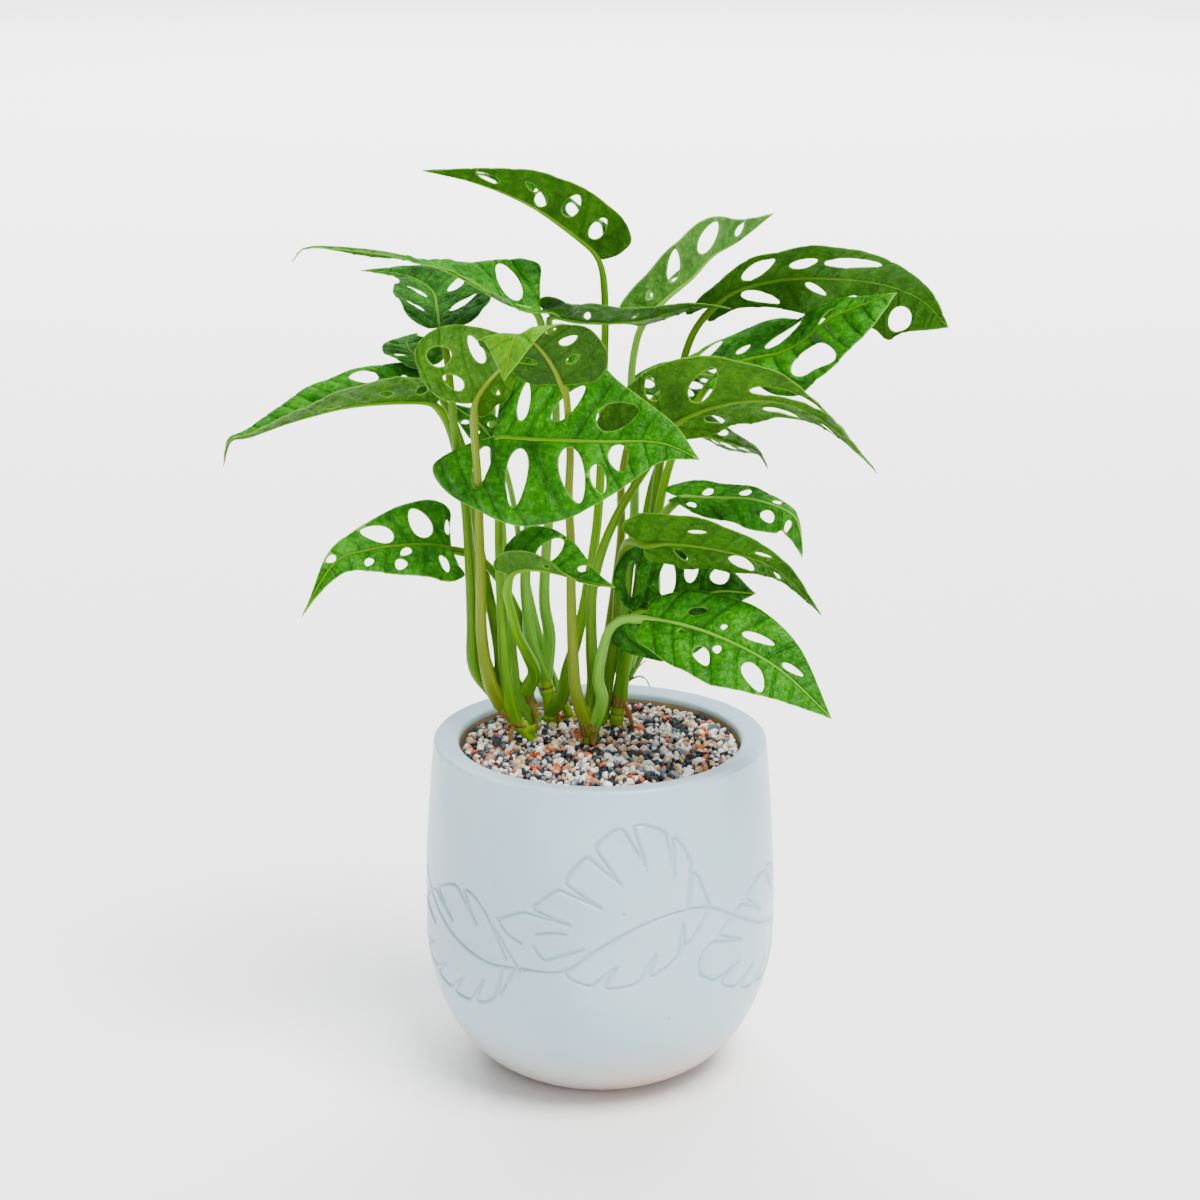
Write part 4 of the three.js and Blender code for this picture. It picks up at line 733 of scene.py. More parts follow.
# %% [markdown]
# ## The leaf's finishes
# A leaf of this plant has a waxy, satin upper face: fresh green, mottled at the size of a grain of rice, with
# a thin pale line on the midrib. Painted shade darkens the sunken side veins, the fine vein net and the strip
# beside the midrib, and dims the tissue toward each side vein; painted light draws a thin pale line on the
# edge and on the cut-like rims of its holes, where light glows through the thin tissue.
# The underside is duller and more yellow. Light also passes through the thin tissue and warms it to
# yellow-green, which a little subsurface light gives. The blade's own maps carry its vein count and its
# flat place, so every line follows the veins. Widths beside a side vein are shares of the space between two.

# %% Leaf materials
MOTTLE_SIZE = 3.3
PATCH_SIZE = 20
VEIN_NET_SIZE = 2.8
RIB_LINE = (0.2 / MAP_UNIT, 0.5 / MAP_UNIT)
RIB_SHADE = (0.6 / MAP_UNIT, 2 / MAP_UNIT)
VEIN_LINE = (0.004, 0.012)
VEIN_SHADE = (0.01, 0.055)
VEIN_VALLEY = 0.14
RIM_WIDTH = 0.8


def leaf_material(name, dark, middle, light, vein, roughness, glow, groove=0.62):
    """Leaf tissue, read from the blade's own maps: its vein count, flat place and edge distance."""
    material, tree, shader = new_material(
        name, Roughness=roughness, IOR=1.4, Specular_IOR_Level=0.14, Subsurface_Weight=glow,
        Subsurface_Scale=0.0012)
    shader.inputs["Subsurface Radius"].default_value = (0.35, 1.0, 0.08)
    vein_map = add(tree, "ShaderNodeUVMap", uv_map="veins").outputs[0]
    veins = add(tree, "ShaderNodeSeparateXYZ", {0: vein_map})
    flat = add(tree, "ShaderNodeUVMap", uv_map="flat").outputs[0]
    off_rib = add(tree, "ShaderNodeMath", {0: veins.outputs[1]}, operation="ABSOLUTE").outputs[0]
    off_vein = add(tree, "ShaderNodeMath", {0: veins.outputs[0], 1: 0.5}, operation="PINGPONG").outputs[0]
    mottle = add(tree, "ShaderNodeTexNoise", {"Vector": flat, "Scale": pattern_scale(MOTTLE_SIZE, MAP_UNIT),
                                              "Detail": 4.0, "Roughness": 0.65})
    patches = add(tree, "ShaderNodeTexNoise",
                  {"Vector": flat, "Scale": pattern_scale(PATCH_SIZE, MAP_UNIT), "Detail": 2.0})
    # Painted shade and light: the tissue darkens toward each side vein and brightens on the puckers between.
    between = add(tree, "ShaderNodeMapRange", {0: off_vein, 1: 0.0, 2: VEIN_VALLEY, 3: -0.07, 4: 0.03})
    shade = add(tree, "ShaderNodeMath",
                {0: mottle.outputs[0], 1: 0.75, 2: between.outputs[0]}, operation="MULTIPLY_ADD")
    both = add(tree, "ShaderNodeMath",
               {0: patches.outputs[0], 1: 0.6, 2: shade.outputs[0]}, operation="MULTIPLY_ADD")
    tissue = add(tree, "ShaderNodeValToRGB", {0: both.outputs[0]},
                 stops=[(0.48, colour(dark)), (0.68, colour(middle)), (0.9, colour(light))])
    net = add(tree, "ShaderNodeTexVoronoi",
              {"Vector": flat, "Scale": pattern_scale(VEIN_NET_SIZE, MAP_UNIT)}, feature="DISTANCE_TO_EDGE")
    # Painted shade: the sunken side veins, the strip beside the midrib and the fine vein net darken toward
    # the dark colour, by the groove amount.
    painted_vein_shade = add(tree, "ShaderNodeMapRange",
                 {0: off_vein, 1: VEIN_SHADE[0], 2: VEIN_SHADE[1], 3: groove, 4: 0.0})
    painted_rib_shade = add(tree, "ShaderNodeMapRange",
                     {0: off_rib, 1: RIB_SHADE[0], 2: RIB_SHADE[1], 3: groove, 4: 0.0})
    painted_net_shade = add(tree, "ShaderNodeMapRange", {0: net.outputs[0], 1: 0.0, 2: 0.1, 3: 0.35, 4: 0.0})
    low = add(tree, "ShaderNodeMath", {0: painted_vein_shade.outputs[0], 1: painted_net_shade.outputs[0]}, operation="MAXIMUM")
    low = add(tree, "ShaderNodeMath", {0: low.outputs[0], 1: painted_rib_shade.outputs[0]}, operation="MAXIMUM")
    tissue_with_painted_shade = add(tree, "ShaderNodeMix", {0: low.outputs[0], 6: tissue.outputs[0], 7: colour(dark)},
                  data_type="RGBA")
    vein_core = add(tree, "ShaderNodeMapRange",
                    {0: off_vein, 1: VEIN_LINE[0], 2: VEIN_LINE[1], 3: 0.2, 4: 0.0})
    rib_line = add(tree, "ShaderNodeMapRange", {0: off_rib, 1: RIB_LINE[0], 2: RIB_LINE[1], 3: 0.85, 4: 0.0})
    # Painted light: a pale line along every edge, where light glows through the thin tissue.
    edge = add(tree, "ShaderNodeAttribute", attribute_name="edge_distance")
    painted_edge_light = add(tree, "ShaderNodeMapRange",
                    {0: edge.outputs["Fac"], 1: 0.0, 2: RIM_WIDTH, 3: 0.75, 4: 0.0})
    lines = add(tree, "ShaderNodeMath",
                {0: vein_core.outputs[0], 1: rib_line.outputs[0]}, operation="MAXIMUM")
    lines = add(tree, "ShaderNodeMath", {0: lines.outputs[0], 1: painted_edge_light.outputs[0]}, operation="MAXIMUM")
    mixed = add(tree, "ShaderNodeMix", {0: lines.outputs[0], 6: tissue_with_painted_shade.outputs[2], 7: colour(vein)},
                data_type="RGBA")
    tree.links.new(mixed.outputs[2], shader.inputs["Base Color"])
    cushion = add(tree, "ShaderNodeMath", {0: net.outputs[0], 1: 0.3}, operation="MINIMUM")
    valley = add(tree, "ShaderNodeMapRange", {0: off_vein, 1: 0.0, 2: VEIN_VALLEY, 3: 0.0, 4: 0.7},
                 interpolation_type="SMOOTHSTEP")
    ground = add(tree, "ShaderNodeMath", {0: cushion.outputs[0], 1: valley.outputs[0]}, operation="ADD")
    bump = add(tree, "ShaderNodeBump", {"Height": ground.outputs[0], "Strength": 0.9, "Distance": 0.001})
    fine = add(tree, "ShaderNodeBump", {"Height": mottle.outputs[0], "Normal": bump.outputs[0],
                                        "Strength": 0.5, "Distance": 0.0009})
    tree.links.new(fine.outputs[0], shader.inputs["Normal"])
    return material


print("mottles of", MOTTLE_SIZE, "mm have the scale", pattern_scale(MOTTLE_SIZE, MAP_UNIT))

# %% [markdown]
# Four greens cover the plant: fresh, deep for the leaves in the shade, lime for the youngest and pale for the
# one that the light shines through. Each has a glossier top and a duller underside. Its four colours are the
# shade in its grooves, its tissue half lit and lit, and its veins.

# %% Leaf finishes
FINISHES = {
    "fresh": (leaf_material("fresh_leaf_top", "124402", "226804", "3e920a", "70a834", 0.38, 0.2),
              leaf_material("fresh_leaf_underside", "224802", "2e5c02", "407606", "68982a", 0.5, 0.2)),
    "deep": (leaf_material("deep_leaf_top", "0c3402", "1a5204", "307a0a", "5a9636", 0.36, 0.15),
             leaf_material("deep_leaf_underside", "1e4802", "2a5c02", "3c7406", "60902c", 0.5, 0.2)),
    "lime": (leaf_material("young_leaf_top", "346c00", "4a8600", "649e02", "84b428", 0.36, 0.15, groove=0.3),
             leaf_material("young_leaf_underside", "183c02", "244c02", "325e04", "588020", 0.45, 0.2)),
    "pale": (leaf_material("pale_leaf_top", "2c660c", "407e1c", "5e9a38", "84b464", 0.38, 0.35, groove=0.3),
             leaf_material("pale_leaf_underside", "3a701a", "4e862a", "689c40", "90b870", 0.5, 0.35)),
}
LEAF_FINISH = {
    "leaf_01": "deep", "leaf_03": "deep", "leaf_06": "lime", "leaf_08": "pale", "leaf_09": "deep",
    "leaf_11": "deep", "leaf_15": "deep", "leaf_16": "deep", "leaf_20": "deep", "leaf_22": "deep",
}
print("leaf materials:", len(FINISHES) * 2)

# %% [markdown]
# ## The blades
# The tissue of a real leaf is one layer of even thickness, so the fine surface gets a wall by the Solidify
# modifier, with its own finish on the underside. Where the upper face has a groove, the underside then has
# the matching ridge, as on the real leaf. A primitive can't hold these slits and veins, so a blade is filled
# with points as above, and only its wall is left to a modifier.

# %% Build the blades
BLADE_THICKNESS = 0.55
MAP_SHIFT = 30


def build_blade(leaf):
    """Makes one blade with its maps and its wall, and returns its form for the stalk."""
    form = BladeForm(leaf)
    points, faces, gap = flat_blade(leaf, form.length)
    side = np.where(points[:, 1] < 0, -1, 1)
    spot = form.place(points[:, 0], points[:, 1], side)
    spot += form.normal(points[:, 0], points[:, 1], side) * relief(leaf, form, points, gap)[:, None]
    finish = LEAF_FINISH.get(leaf["name"], "fresh")
    blade = make_piece(leaf["name"] + "_blade", spot, faces.tolist(), FINISHES[finish], node=leaf["name"])
    corner = faces.ravel()
    x, y = points[corner, 0], points[corner, 1]
    face_side = np.repeat(np.where(points[faces].mean(1)[:, 1] < 0, -1, 1), 3)
    count = np.zeros(len(x))
    for half in (1, -1):
        mine = face_side == half
        count[mine] = vein_counter(leaf, form.length, half)(x[mine], np.abs(y[mine]))
    add_map(blade, "veins", np.column_stack([count, y / MAP_UNIT]))
    shift = chance.uniform(0, MAP_SHIFT)
    add_map(blade, "flat", np.column_stack([x / MAP_UNIT + shift, y / MAP_UNIT]))
    edge = blade.data.attributes.new("edge_distance", "FLOAT", "POINT")
    edge.data.foreach_set("value", gap.astype(np.float32))
    bpy.ops.object.modifier_add(type="SOLIDIFY")
    wall = blade.modifiers[-1]
    wall.thickness = BLADE_THICKNESS * MM
    wall.offset = 0
    wall.material_offset = 1
    wall.material_offset_rim = 1
    bpy.ops.object.modifier_apply(modifier=wall.name)
    return form


forms = {leaf["name"]: build_blade(leaf) for leaf in LEAVES}
print("blades:", len(forms))

# %% [markdown]
# ## Stalks and midribs
# A leaf stalk is round and smooth, a little flattened on its upper side, wide where it clasps the stem, and
# swollen just below the blade, where the leaf turns to the light. It runs on under the blade as the midrib,
# thinning to nothing at the tip, so one tube makes both. Its skin is satin and juicy green, with long
# streaks. The stems are yellower, and roots and old sheaths are dry, brown and matt.

# %% Stalk materials
STREAK_SIZE = 45
BLOTCH_SIZE = 62


def stalk_material(name, dark, light, tint, roughness=0.4):
    """Green stalk tissue with streaks along its length and a few corky specks."""
    material, tree, shader = new_material(
        name, Roughness=roughness, IOR=1.42, Specular_IOR_Level=0.15, Subsurface_Weight=0.15,
        Subsurface_Scale=0.002)
    shader.inputs["Subsurface Radius"].default_value = (0.6, 1.0, 0.2)
    place = add(tree, "ShaderNodeUVMap", uv_map="stalk").outputs[0]
    stretched = add(tree, "ShaderNodeMapping", {0: place, 3: (7.0, 0.6, 1.0)})
    streaks = add(tree, "ShaderNodeTexNoise", {"Vector": stretched.outputs[0], "Detail": 4.0,
                                               "Scale": pattern_scale(STREAK_SIZE, MAP_UNIT)})
    base = add(tree, "ShaderNodeValToRGB", {0: streaks.outputs[0]},
               stops=[(0.34, colour(dark)), (0.66, colour(light))])
    broad = add(tree, "ShaderNodeMapping", {0: place, 3: (1.0, 0.25, 1.0)})
    blotch = add(tree, "ShaderNodeTexNoise", {"Vector": broad.outputs[0], "Detail": 3.0,
                                              "Scale": pattern_scale(BLOTCH_SIZE, MAP_UNIT)})
    where = add(tree, "ShaderNodeMapRange", {0: blotch.outputs[0], 1: 0.58, 2: 0.74, 3: 0.0, 4: 0.7})
    mixed = add(tree, "ShaderNodeMix", {0: where.outputs[0], 6: base.outputs[0], 7: colour(tint)},
                data_type="RGBA")
    tree.links.new(mixed.outputs[2], shader.inputs["Base Color"])
    bump = add(tree, "ShaderNodeBump", {"Height": streaks.outputs[0], "Strength": 0.4, "Distance": 0.0004})
    tree.links.new(bump.outputs[0], shader.inputs["Normal"])
    return material


green_stalk = stalk_material("green_stalk", "3e7202", "689c04", "5c7c14")
pale_stalk = stalk_material("pale_green_stalk", "4c861a", "7cb03c", "789a34")
olive_stalk = stalk_material("olive_stalk", "3a6802", "5c8404", "68681a")
brownish_stalk = stalk_material("brownish_stalk", "566c0c", "788a1c", "6c5a1c")
GREEN_STALKS = [green_stalk, pale_stalk, olive_stalk]
BROWNISH = {"leaf_05", "leaf_06", "leaf_22"}
cane_skin = stalk_material("stem_skin", "649404", "8cb41c", "7c7424", roughness=0.36)
root_skin = stalk_material("dry_root_skin", "745226", "a27a40", "4e3818", roughness=0.75)
paper_skin = stalk_material("papery_sheath", "564c18", "86763a", "4c3614", roughness=0.8)
print("skins of stalks and stems:", len(GREEN_STALKS) + 4)

# %% [markdown]
# A stalk's radius shrinks from its foot to the neck under the blade, swells at both, and is smoothed where
# the free stalk turns into the midrib. Its path starts inside the stem, so no gap can show.

# %% Build the stalks
PETIOLE_RADIUS = 3.3
NECK_SHARE = 0.62
FREE_STEPS, RIB_STEPS = 60, 26
RIB_START, RIB_END = 0.12, 0.97
LEAST_RIB = 0.22
FOOT_SWELLING, FOOT_LENGTH = 0.5, 42
NECK_SWELLING, NECK_PLACE, NECK_LENGTH = 0.22, 16, 6
JOIN_START, JOIN_END = FREE_STEPS - 10, FREE_STEPS + 6
STALK_SIDES = 14
STALK_GROOVE = 0.16
stem_paths = {stem["name"]: smooth_path(stem["path"], 40)[0] for stem in STEMS}


def build_stalk(leaf, number):
    """One tube from inside the stem, up the stalk and along the underside of the blade."""
    form = forms[leaf["name"]]
    base = leaf.get("radius", PETIOLE_RADIUS)
    tip = base * NECK_SHARE
    stem = stem_paths[leaf["stem"]]
    start = stem[np.argmin(np.abs(stem[:, 2] - leaf["joint"]))]
    spots = np.array([0.01, 0.09]) * form.length
    at, _, up, _ = form.frame_at(spots)
    neck = at[0] - up[0] * tip * 0.7
    under = at[1] - up[1] * tip * 0.35
    free, _, run = smooth_path([start, *leaf["petiole"], neck, under], FREE_STEPS)
    stations = np.linspace(RIB_START, RIB_END, RIB_STEPS) * form.length
    at, _, up, _ = form.frame_at(stations)
    rib_radius = tip * NECK_SHARE * (1 - stations / form.length) ** 0.8 + LEAST_RIB
    rib = at - up * (rib_radius * 0.35)[:, None]
    path = np.vstack([free, rib])
    for _ in range(3):
        before = path[JOIN_START - 1:JOIN_END - 1]
        after = path[JOIN_START + 1:JOIN_END + 1]
        path[JOIN_START:JOIN_END] = (before + 2 * path[JOIN_START:JOIN_END] + after) / 4
    share = np.linspace(0, 1, len(free))
    radius = base + (tip - base) * share
    radius += base * FOOT_SWELLING * np.exp(-share * run / FOOT_LENGTH)
    radius += tip * NECK_SWELLING * np.exp(-(((1 - share) * run - NECK_PLACE) / NECK_LENGTH) ** 2)
    radius[-5:] = np.linspace(radius[-6], rib_radius[0], 6)[1:]
    points, faces, maps = tube(path, np.concatenate([radius, rib_radius]), STALK_SIDES, groove=STALK_GROOVE)
    skin = brownish_stalk if leaf["name"] in BROWNISH else GREEN_STALKS[number % len(GREEN_STALKS)]
    stalk = make_piece(leaf["name"] + "_stalk", points, faces, [skin], node=leaf["name"])
    add_tube_map(stalk, maps)


for number, leaf in enumerate(LEAVES):
    build_stalk(leaf, number)
print("stalks:", len(LEAVES))

# %% [markdown]
# ## The stems
# A stem is a short green cane. Rings mark where old leaves sat, and each ring is a little thicker than the
# cane between, with a thin brown scar just over it. The top narrows into the sheath of the youngest stalk.

# %% Build the stems
STEM_STEPS = 90
STEM_SIDES = 20
NODE_SPACING = 17
RING_RISE, RING_WIDTH = 0.14, 1.3
NECK_DIP, DIP_PLACE, DIP_WIDTH = 0.05, 2.2, 0.7
SCAR_PLACE, SCAR_WIDTH = 2.0, 0.6
TOP_LENGTH, TOP_SHARE = 9, 0.35


def build_stem(stem, number):
    """One cane with its rings and the scars over them."""
    path, _, run = smooth_path(stem["path"], STEM_STEPS)
    low, high = stem["radius"]
    along = np.linspace(0, run, len(path))
    radius = low + (high - low) * along / run
    ring = ((along / NODE_SPACING + 0.35 + 0.23 * number) % 1 - 0.5) * NODE_SPACING
    radius = radius * (0.95 + RING_RISE * np.exp(-(ring / RING_WIDTH) ** 2)
                       - NECK_DIP * np.exp(-((ring - DIP_PLACE) / DIP_WIDTH) ** 2))
    top = np.clip((run - along) / TOP_LENGTH, 0, 1)
    radius = radius * (TOP_SHARE + (1 - TOP_SHARE) * np.sqrt(top))
    points, faces, maps = tube(path, radius, STEM_SIDES)
    scar = np.exp(-((ring - SCAR_PLACE) / SCAR_WIDTH) ** 2) > 0.5
    wall = (len(path) - 1) * STEM_SIDES
    skins = [int(scar[k // STEM_SIDES]) if k < wall else 0 for k in range(len(faces))]
    piece = make_piece(stem["name"] + "_cane", points, faces, [cane_skin, paper_skin], node=stem["name"],
                       face_materials=skins)
    add_tube_map(piece, maps)


for number, stem in enumerate(STEMS):
    build_stem(stem, number)
print("stems:", len(STEMS))

# %% [markdown]
# ## Dry sheaths, roots and stubs
# When a leaf falls, the papery foot of its stalk stays on the stem for a while and curls, and a short stub
# may be left. At the same height thick tan air roots come out and grow down into the gravel, and thin green
# tendrils, which are young roots, stand free. All hang on the stem they grew from. A course gives, point by
# point, how far the strand stands to the side of its stem and its height.

# %% Roots and tendrils
STRAND_STEPS, STRAND_SIDES = 22, 10
STANDS_OFF, LEANS_OUT = 3.2, 0.25
KNOT_RISE, KNOT_TURN = 0.12, 5.1
ROOTS = [
    ("stem_1", 1.7, [(-0.5, 214), (-3.5, 208), (-3, 198)]),
    ("stem_2", 1.4, [(0.5, 222), (4, 212), (4.5, 198)]),
    ("stem_3", 1.5, [(0.3, 219), (5, 210), (7, 198)]),
    ("stem_4", 1.6, [(-0.6, 217), (-6, 209), (-8, 198)]),
    ("stem_5", 1.8, [(0.2, 216), (2.5, 207), (1.5, 197)]),
    ("stem_6", 1.3, [(-0.3, 226), (-5, 213), (-7, 198)]),
    ("stem_7", 1.5, [(0.6, 221), (6, 211), (9, 198)]),
]
TENDRILS = [
    ("stem_7", 0.75, [(3, 229), (9, 236), (14, 235), (17, 230)]),
    ("stem_7", 0.6, [(3, 236), (9, 243), (13, 247)]),
    ("stem_4", 0.8, [(-2, 246), (-7, 254), (-6, 260), (-2, 261), (-1, 257)]),
    ("stem_2", 0.7, [(-2, 238), (-8, 240), (-12, 234)]),
]


def stem_spot(name, height):
    """The middle of a stem at a height."""
    path = stem_paths[name]
    return path[np.argmin(np.abs(path[:, 2] - height))]


def strand(label, stem_name, radius, course, skin, number, taper=0.5):
    """A thin root or tendril: it starts inside the stem and leaves it sideways, toward the front."""
    start = stem_spot(stem_name, course[0][1])
    points = [start]
    for sideways, height in course[1:]:
        points.append([start[0] + sideways, start[1] - STANDS_OFF - LEANS_OUT * abs(sideways), height])
    path = smooth_path(points, STRAND_STEPS)[0]
    share = np.linspace(0, 1, len(path))
    knots = np.array([1 + KNOT_RISE * math.sin(KNOT_TURN * k + number) for k in range(len(path))])
    shape, faces, maps = tube(path, radius * (1 - taper * share) * knots, STRAND_SIDES)
    piece = make_piece(f"{stem_name}_{label}_{number + 1}", shape, faces, [skin], node=stem_name)
    add_tube_map(piece, maps)


for number, (name, radius, course) in enumerate(ROOTS):
    strand("root", name, radius, course, root_skin, number, taper=0.25)
for number, (name, radius, course) in enumerate(TENDRILS):
    strand("tendril", name, radius, course, pale_stalk, number)
print("roots and tendrils:", len(ROOTS) + len(TENDRILS))

# %% Papery sheaths
# Each sheath: its stem, the height of its foot, the way it faces in degrees, and its length.
SHEATHS = [
    ("stem_1", 212, 250, 11),
    ("stem_1", 226, 320, 8),
    ("stem_2", 218, 300, 9),
    ("stem_4", 214, 290, 8),
    ("stem_5", 208, 215, 9),
    ("stem_5", 212, 330, 7),
    ("stem_7", 216, 240, 9),
]
SHEATH_ROWS, SHEATH_COLUMNS = 9, 8
SHEATH_SPREAD, SPREAD_LOSS = 70, 0.3
SHEATH_CLEARANCE, SHEATH_STANDS_OFF = 0.3, 0.9
SHEATH_TEAR, SHEATH_CURL = 1.6, 0.7
SHEATH_THICKNESS = 0.35
SHEATH_ROW_MAP = 0.015
stem_radius = {stem["name"]: stem["radius"][0] for stem in STEMS}


def build_sheath(name, height, facing, length, number):
    """A curled strip of dry tissue that clasps part of the stem and stands off at its upper end."""
    middle = stem_spot(name, height)
    points = []
    for row in range(SHEATH_ROWS):
        rise = row / (SHEATH_ROWS - 1)
        spread = math.radians(SHEATH_SPREAD * (1 - SPREAD_LOSS * rise))
        off = stem_radius[name] * 1.05 + SHEATH_CLEARANCE + SHEATH_STANDS_OFF * rise ** 2.2
        for column in range(SHEATH_COLUMNS):
            across = column / (SHEATH_COLUMNS - 1) * 2 - 1
            turn = math.radians(facing) + spread * across
            torn = SHEATH_TEAR * math.sin(6.1 * across + 2 * number) * rise
            curl = SHEATH_CURL * rise * across ** 2
            here = stem_spot(name, height + length * rise)
            points.append([here[0] + (off - curl) * math.cos(turn), here[1] + (off - curl) * math.sin(turn),
                           middle[2] + length * rise + torn])
    faces = []
    for row in range(SHEATH_ROWS - 1):
        for column in range(SHEATH_COLUMNS - 1):
            a = row * SHEATH_COLUMNS + column
            faces.append((a, a + 1, a + SHEATH_COLUMNS + 1, a + SHEATH_COLUMNS))
    piece = make_piece(f"{name}_sheath_{number + 1}", points, faces, [paper_skin], node=name)
    corners = [((i % SHEATH_COLUMNS) / SHEATH_COLUMNS, (i // SHEATH_COLUMNS) * SHEATH_ROW_MAP)
               for face in faces for i in face]
    add_map(piece, "stalk", corners)
    bpy.ops.object.modifier_add(type="SOLIDIFY")
    piece.modifiers[-1].thickness = SHEATH_THICKNESS * MM
    bpy.ops.object.modifier_apply(modifier=piece.modifiers[-1].name)


for number, (name, height, facing, length) in enumerate(SHEATHS):
    build_sheath(name, height, facing, length, number)
print("sheaths:", len(SHEATHS))

# %% Stubs of old stalks
# Each stub: its stem, its height, the way it faces in degrees, its radius and its length.
STUBS = [("stem_5", 209, 285, 2.9, 6), ("stem_3", 216, 310, 2.3, 5), ("stem_1", 208, 325, 2.4, 5)]
STUB_SIDES = 12
STUB_RISE = 0.55
STUB_SHAPE = [1.25, 1.15, 1.05, 1, 0.98, 0.98, 0.95, 0.7]


def build_stub(name, height, facing, radius, length, number):
    """A short green stub that leans out and up and ends in a dry brown face."""
    turn = math.radians(facing)
    start = stem_spot(name, height)
    way = np.array([math.cos(turn), math.sin(turn), STUB_RISE])
    reach = stem_radius[name]
    path = np.array([start + way * t for t in np.linspace(reach * 0.4, reach + length, len(STUB_SHAPE))])
    shape, faces, maps = tube(path, radius * np.array(STUB_SHAPE), STUB_SIDES)
    dry_from = (len(STUB_SHAPE) - 2) * STUB_SIDES
    skins = [int(k >= dry_from) for k in range(len(faces))]
    stub = make_piece(f"{name}_stub_{number + 1}", shape, faces, [cane_skin, paper_skin], node=name,
                      face_materials=skins)
    add_tube_map(stub, maps)


for number, (name, height, facing, radius, length) in enumerate(STUBS):
    build_stub(name, height, facing, radius, length, number)
print("stubs:", len(STUBS))

# %% [markdown]
# ## The pot
# The pot was thrown round and dipped in a pale blue-grey satin glaze. Its wall is drawn as half a profile
# and spun about the upright axis, as on a wheel. The lip is thick and its edges are rounded.

# %% The pot's profile
POT_HEIGHT = 208.5
WIDEST_HEIGHT = 90
WIDEST_RADIUS = 106.2
FOOT_RADIUS = 45
RIM_RADIUS = 100
BELLY_EXPONENT = 1.96
MOUTH_RADIUS = 84.5
WALL = 10
FLOOR = 13
SOIL_TOP = 192


def wall_radius(height):
    """The outer radius of the wall at a height."""
    if height < WIDEST_HEIGHT:
        fall = 1 - height / WIDEST_HEIGHT
        cosine = fall ** (BELLY_EXPONENT / 2)
        sine = math.sqrt(max(0.0, 1 - cosine ** 2))
        return FOOT_RADIUS + (WIDEST_RADIUS - FOOT_RADIUS) * sine ** (2 / BELLY_EXPONENT)
    share = (height - WIDEST_HEIGHT) / (POT_HEIGHT - WIDEST_HEIGHT)
    return WIDEST_RADIUS + (RIM_RADIUS - WIDEST_RADIUS) * share ** 2


FOOT_EDGE = [(0.0, 0.0), (FOOT_RADIUS - 2, 0.0), (FOOT_RADIUS - 0.6, 0.15)]
LIP_START = 204
LIP = [(0, 0), (-0.15, 2.3), (-1.1, 3.8), (-2.9, 4.45), (-8, 3.9), (-13, 3.2), (-14.7, 2.5),
       (-15.4, 1.2), (-15.5, -1)]
CAVITY = [(MOUTH_RADIUS, 196), (MOUTH_RADIUS, SOIL_TOP - 4), (wall_radius(160) - WALL, 160),
          (WIDEST_RADIUS - WALL, WIDEST_HEIGHT), (WIDEST_RADIUS - WALL - 10, 50),
          (WIDEST_RADIUS - WALL - 32, 24), (FOOT_RADIUS, FLOOR), (0.0, FLOOR)]
BAND_LOW, BAND_HIGH = 58, 196

below = [(wall_radius(h), h) for h in [*np.linspace(0.5, 8, 8), *np.linspace(11, BAND_LOW, 22)]]
above = [(wall_radius(h), h) for h in np.linspace(BAND_HIGH, LIP_START, 4)]
lip_edge = above[-1][0]
lip_curve = smooth_path([(lip_edge + r, LIP_START + h) for r, h in LIP], 26)[0].tolist()
foot_profile = FOOT_EDGE + below
mouth_profile = above + lip_curve[1:] + CAVITY
print("profile points:", len(foot_profile), len(mouth_profile))

# %% [markdown]
# ## The garland on the belly
# A vine with split banana leaves is carved into the wet clay in thin grooves, which the glaze has softened.
# It is drawn once on the unrolled wall, in millimetres, and repeats three times round the pot. A spin can't
# make such lines, so this band of the wall is filled with points: closely along the lines, widely between
# them. Each point is sunk by its distance to the nearest line, with a faint ridge of raised clay beside it.

# %% Draw the garland
REPEATS = 3
PERIOD = 2 * math.pi * WIDEST_RADIUS / REPEATS
VINE = [(-50, 98), (-22, 100), (0, 115), (25, 128), (50, 133), (69, 131), (92, 119), (120, 105), (150, 97),
        (173, 98)]
FIRST_LEAF_TOP = [(-64, 126), (-45, 135), (-28, 148), (-16, 162), (-3, 177), (14, 188), (32, 186),
                  (47, 177), (58, 158), (69, 132)]
FIRST_LEAF_LOW = [(-22, 100), (-14, 94), (4, 90), (24, 93), (42, 102), (58, 117), (69, 131)]
SECOND_LEAF_TOP = [(60, 92), (64, 104), (80, 116), (100, 128), (122, 137), (140, 135), (156, 120),
                   (173, 98)]
SECOND_LEAF_LOW = [(60, 92), (76, 82), (96, 72), (118, 67), (140, 68), (158, 77), (170, 96)]
EDGE_COUNT = 160
CORNER_PULL, CORNER_REACH = 2.2, 1.5


def torn_half(margin, aim, slots, depth, opening=5.0):
    """Half a leaf's margin, torn into round-ended strips by slots that fan from one point."""
    edge, _, run = smooth_path(margin, EDGE_COUNT)
    station = np.linspace(0, run, EDGE_COUNT + 1)
    cuts = [run * (k + 0.8) / (slots + 0.9) for k in range(slots)]
    line = []
    begin = -1.0
    for cut in [*cuts, run + opening]:
        stretch = edge[(station > begin) & (station < cut - opening / 2)]
        inward = np.array(aim) - stretch.mean(0)
        inward /= np.linalg.norm(inward)
        from_end = np.minimum(np.arange(len(stretch)), np.arange(len(stretch))[::-1])
        line += (stretch + inward * (CORNER_PULL * np.exp(-from_end / CORNER_REACH))[:, None]).tolist()
        if cut < run:
            at = edge[np.argmin(np.abs(station - cut))]
            toward = np.array(aim) - at
            line.append((at + toward / np.linalg.norm(toward) * depth).tolist())
        begin = cut + opening / 2
    return np.array(line)


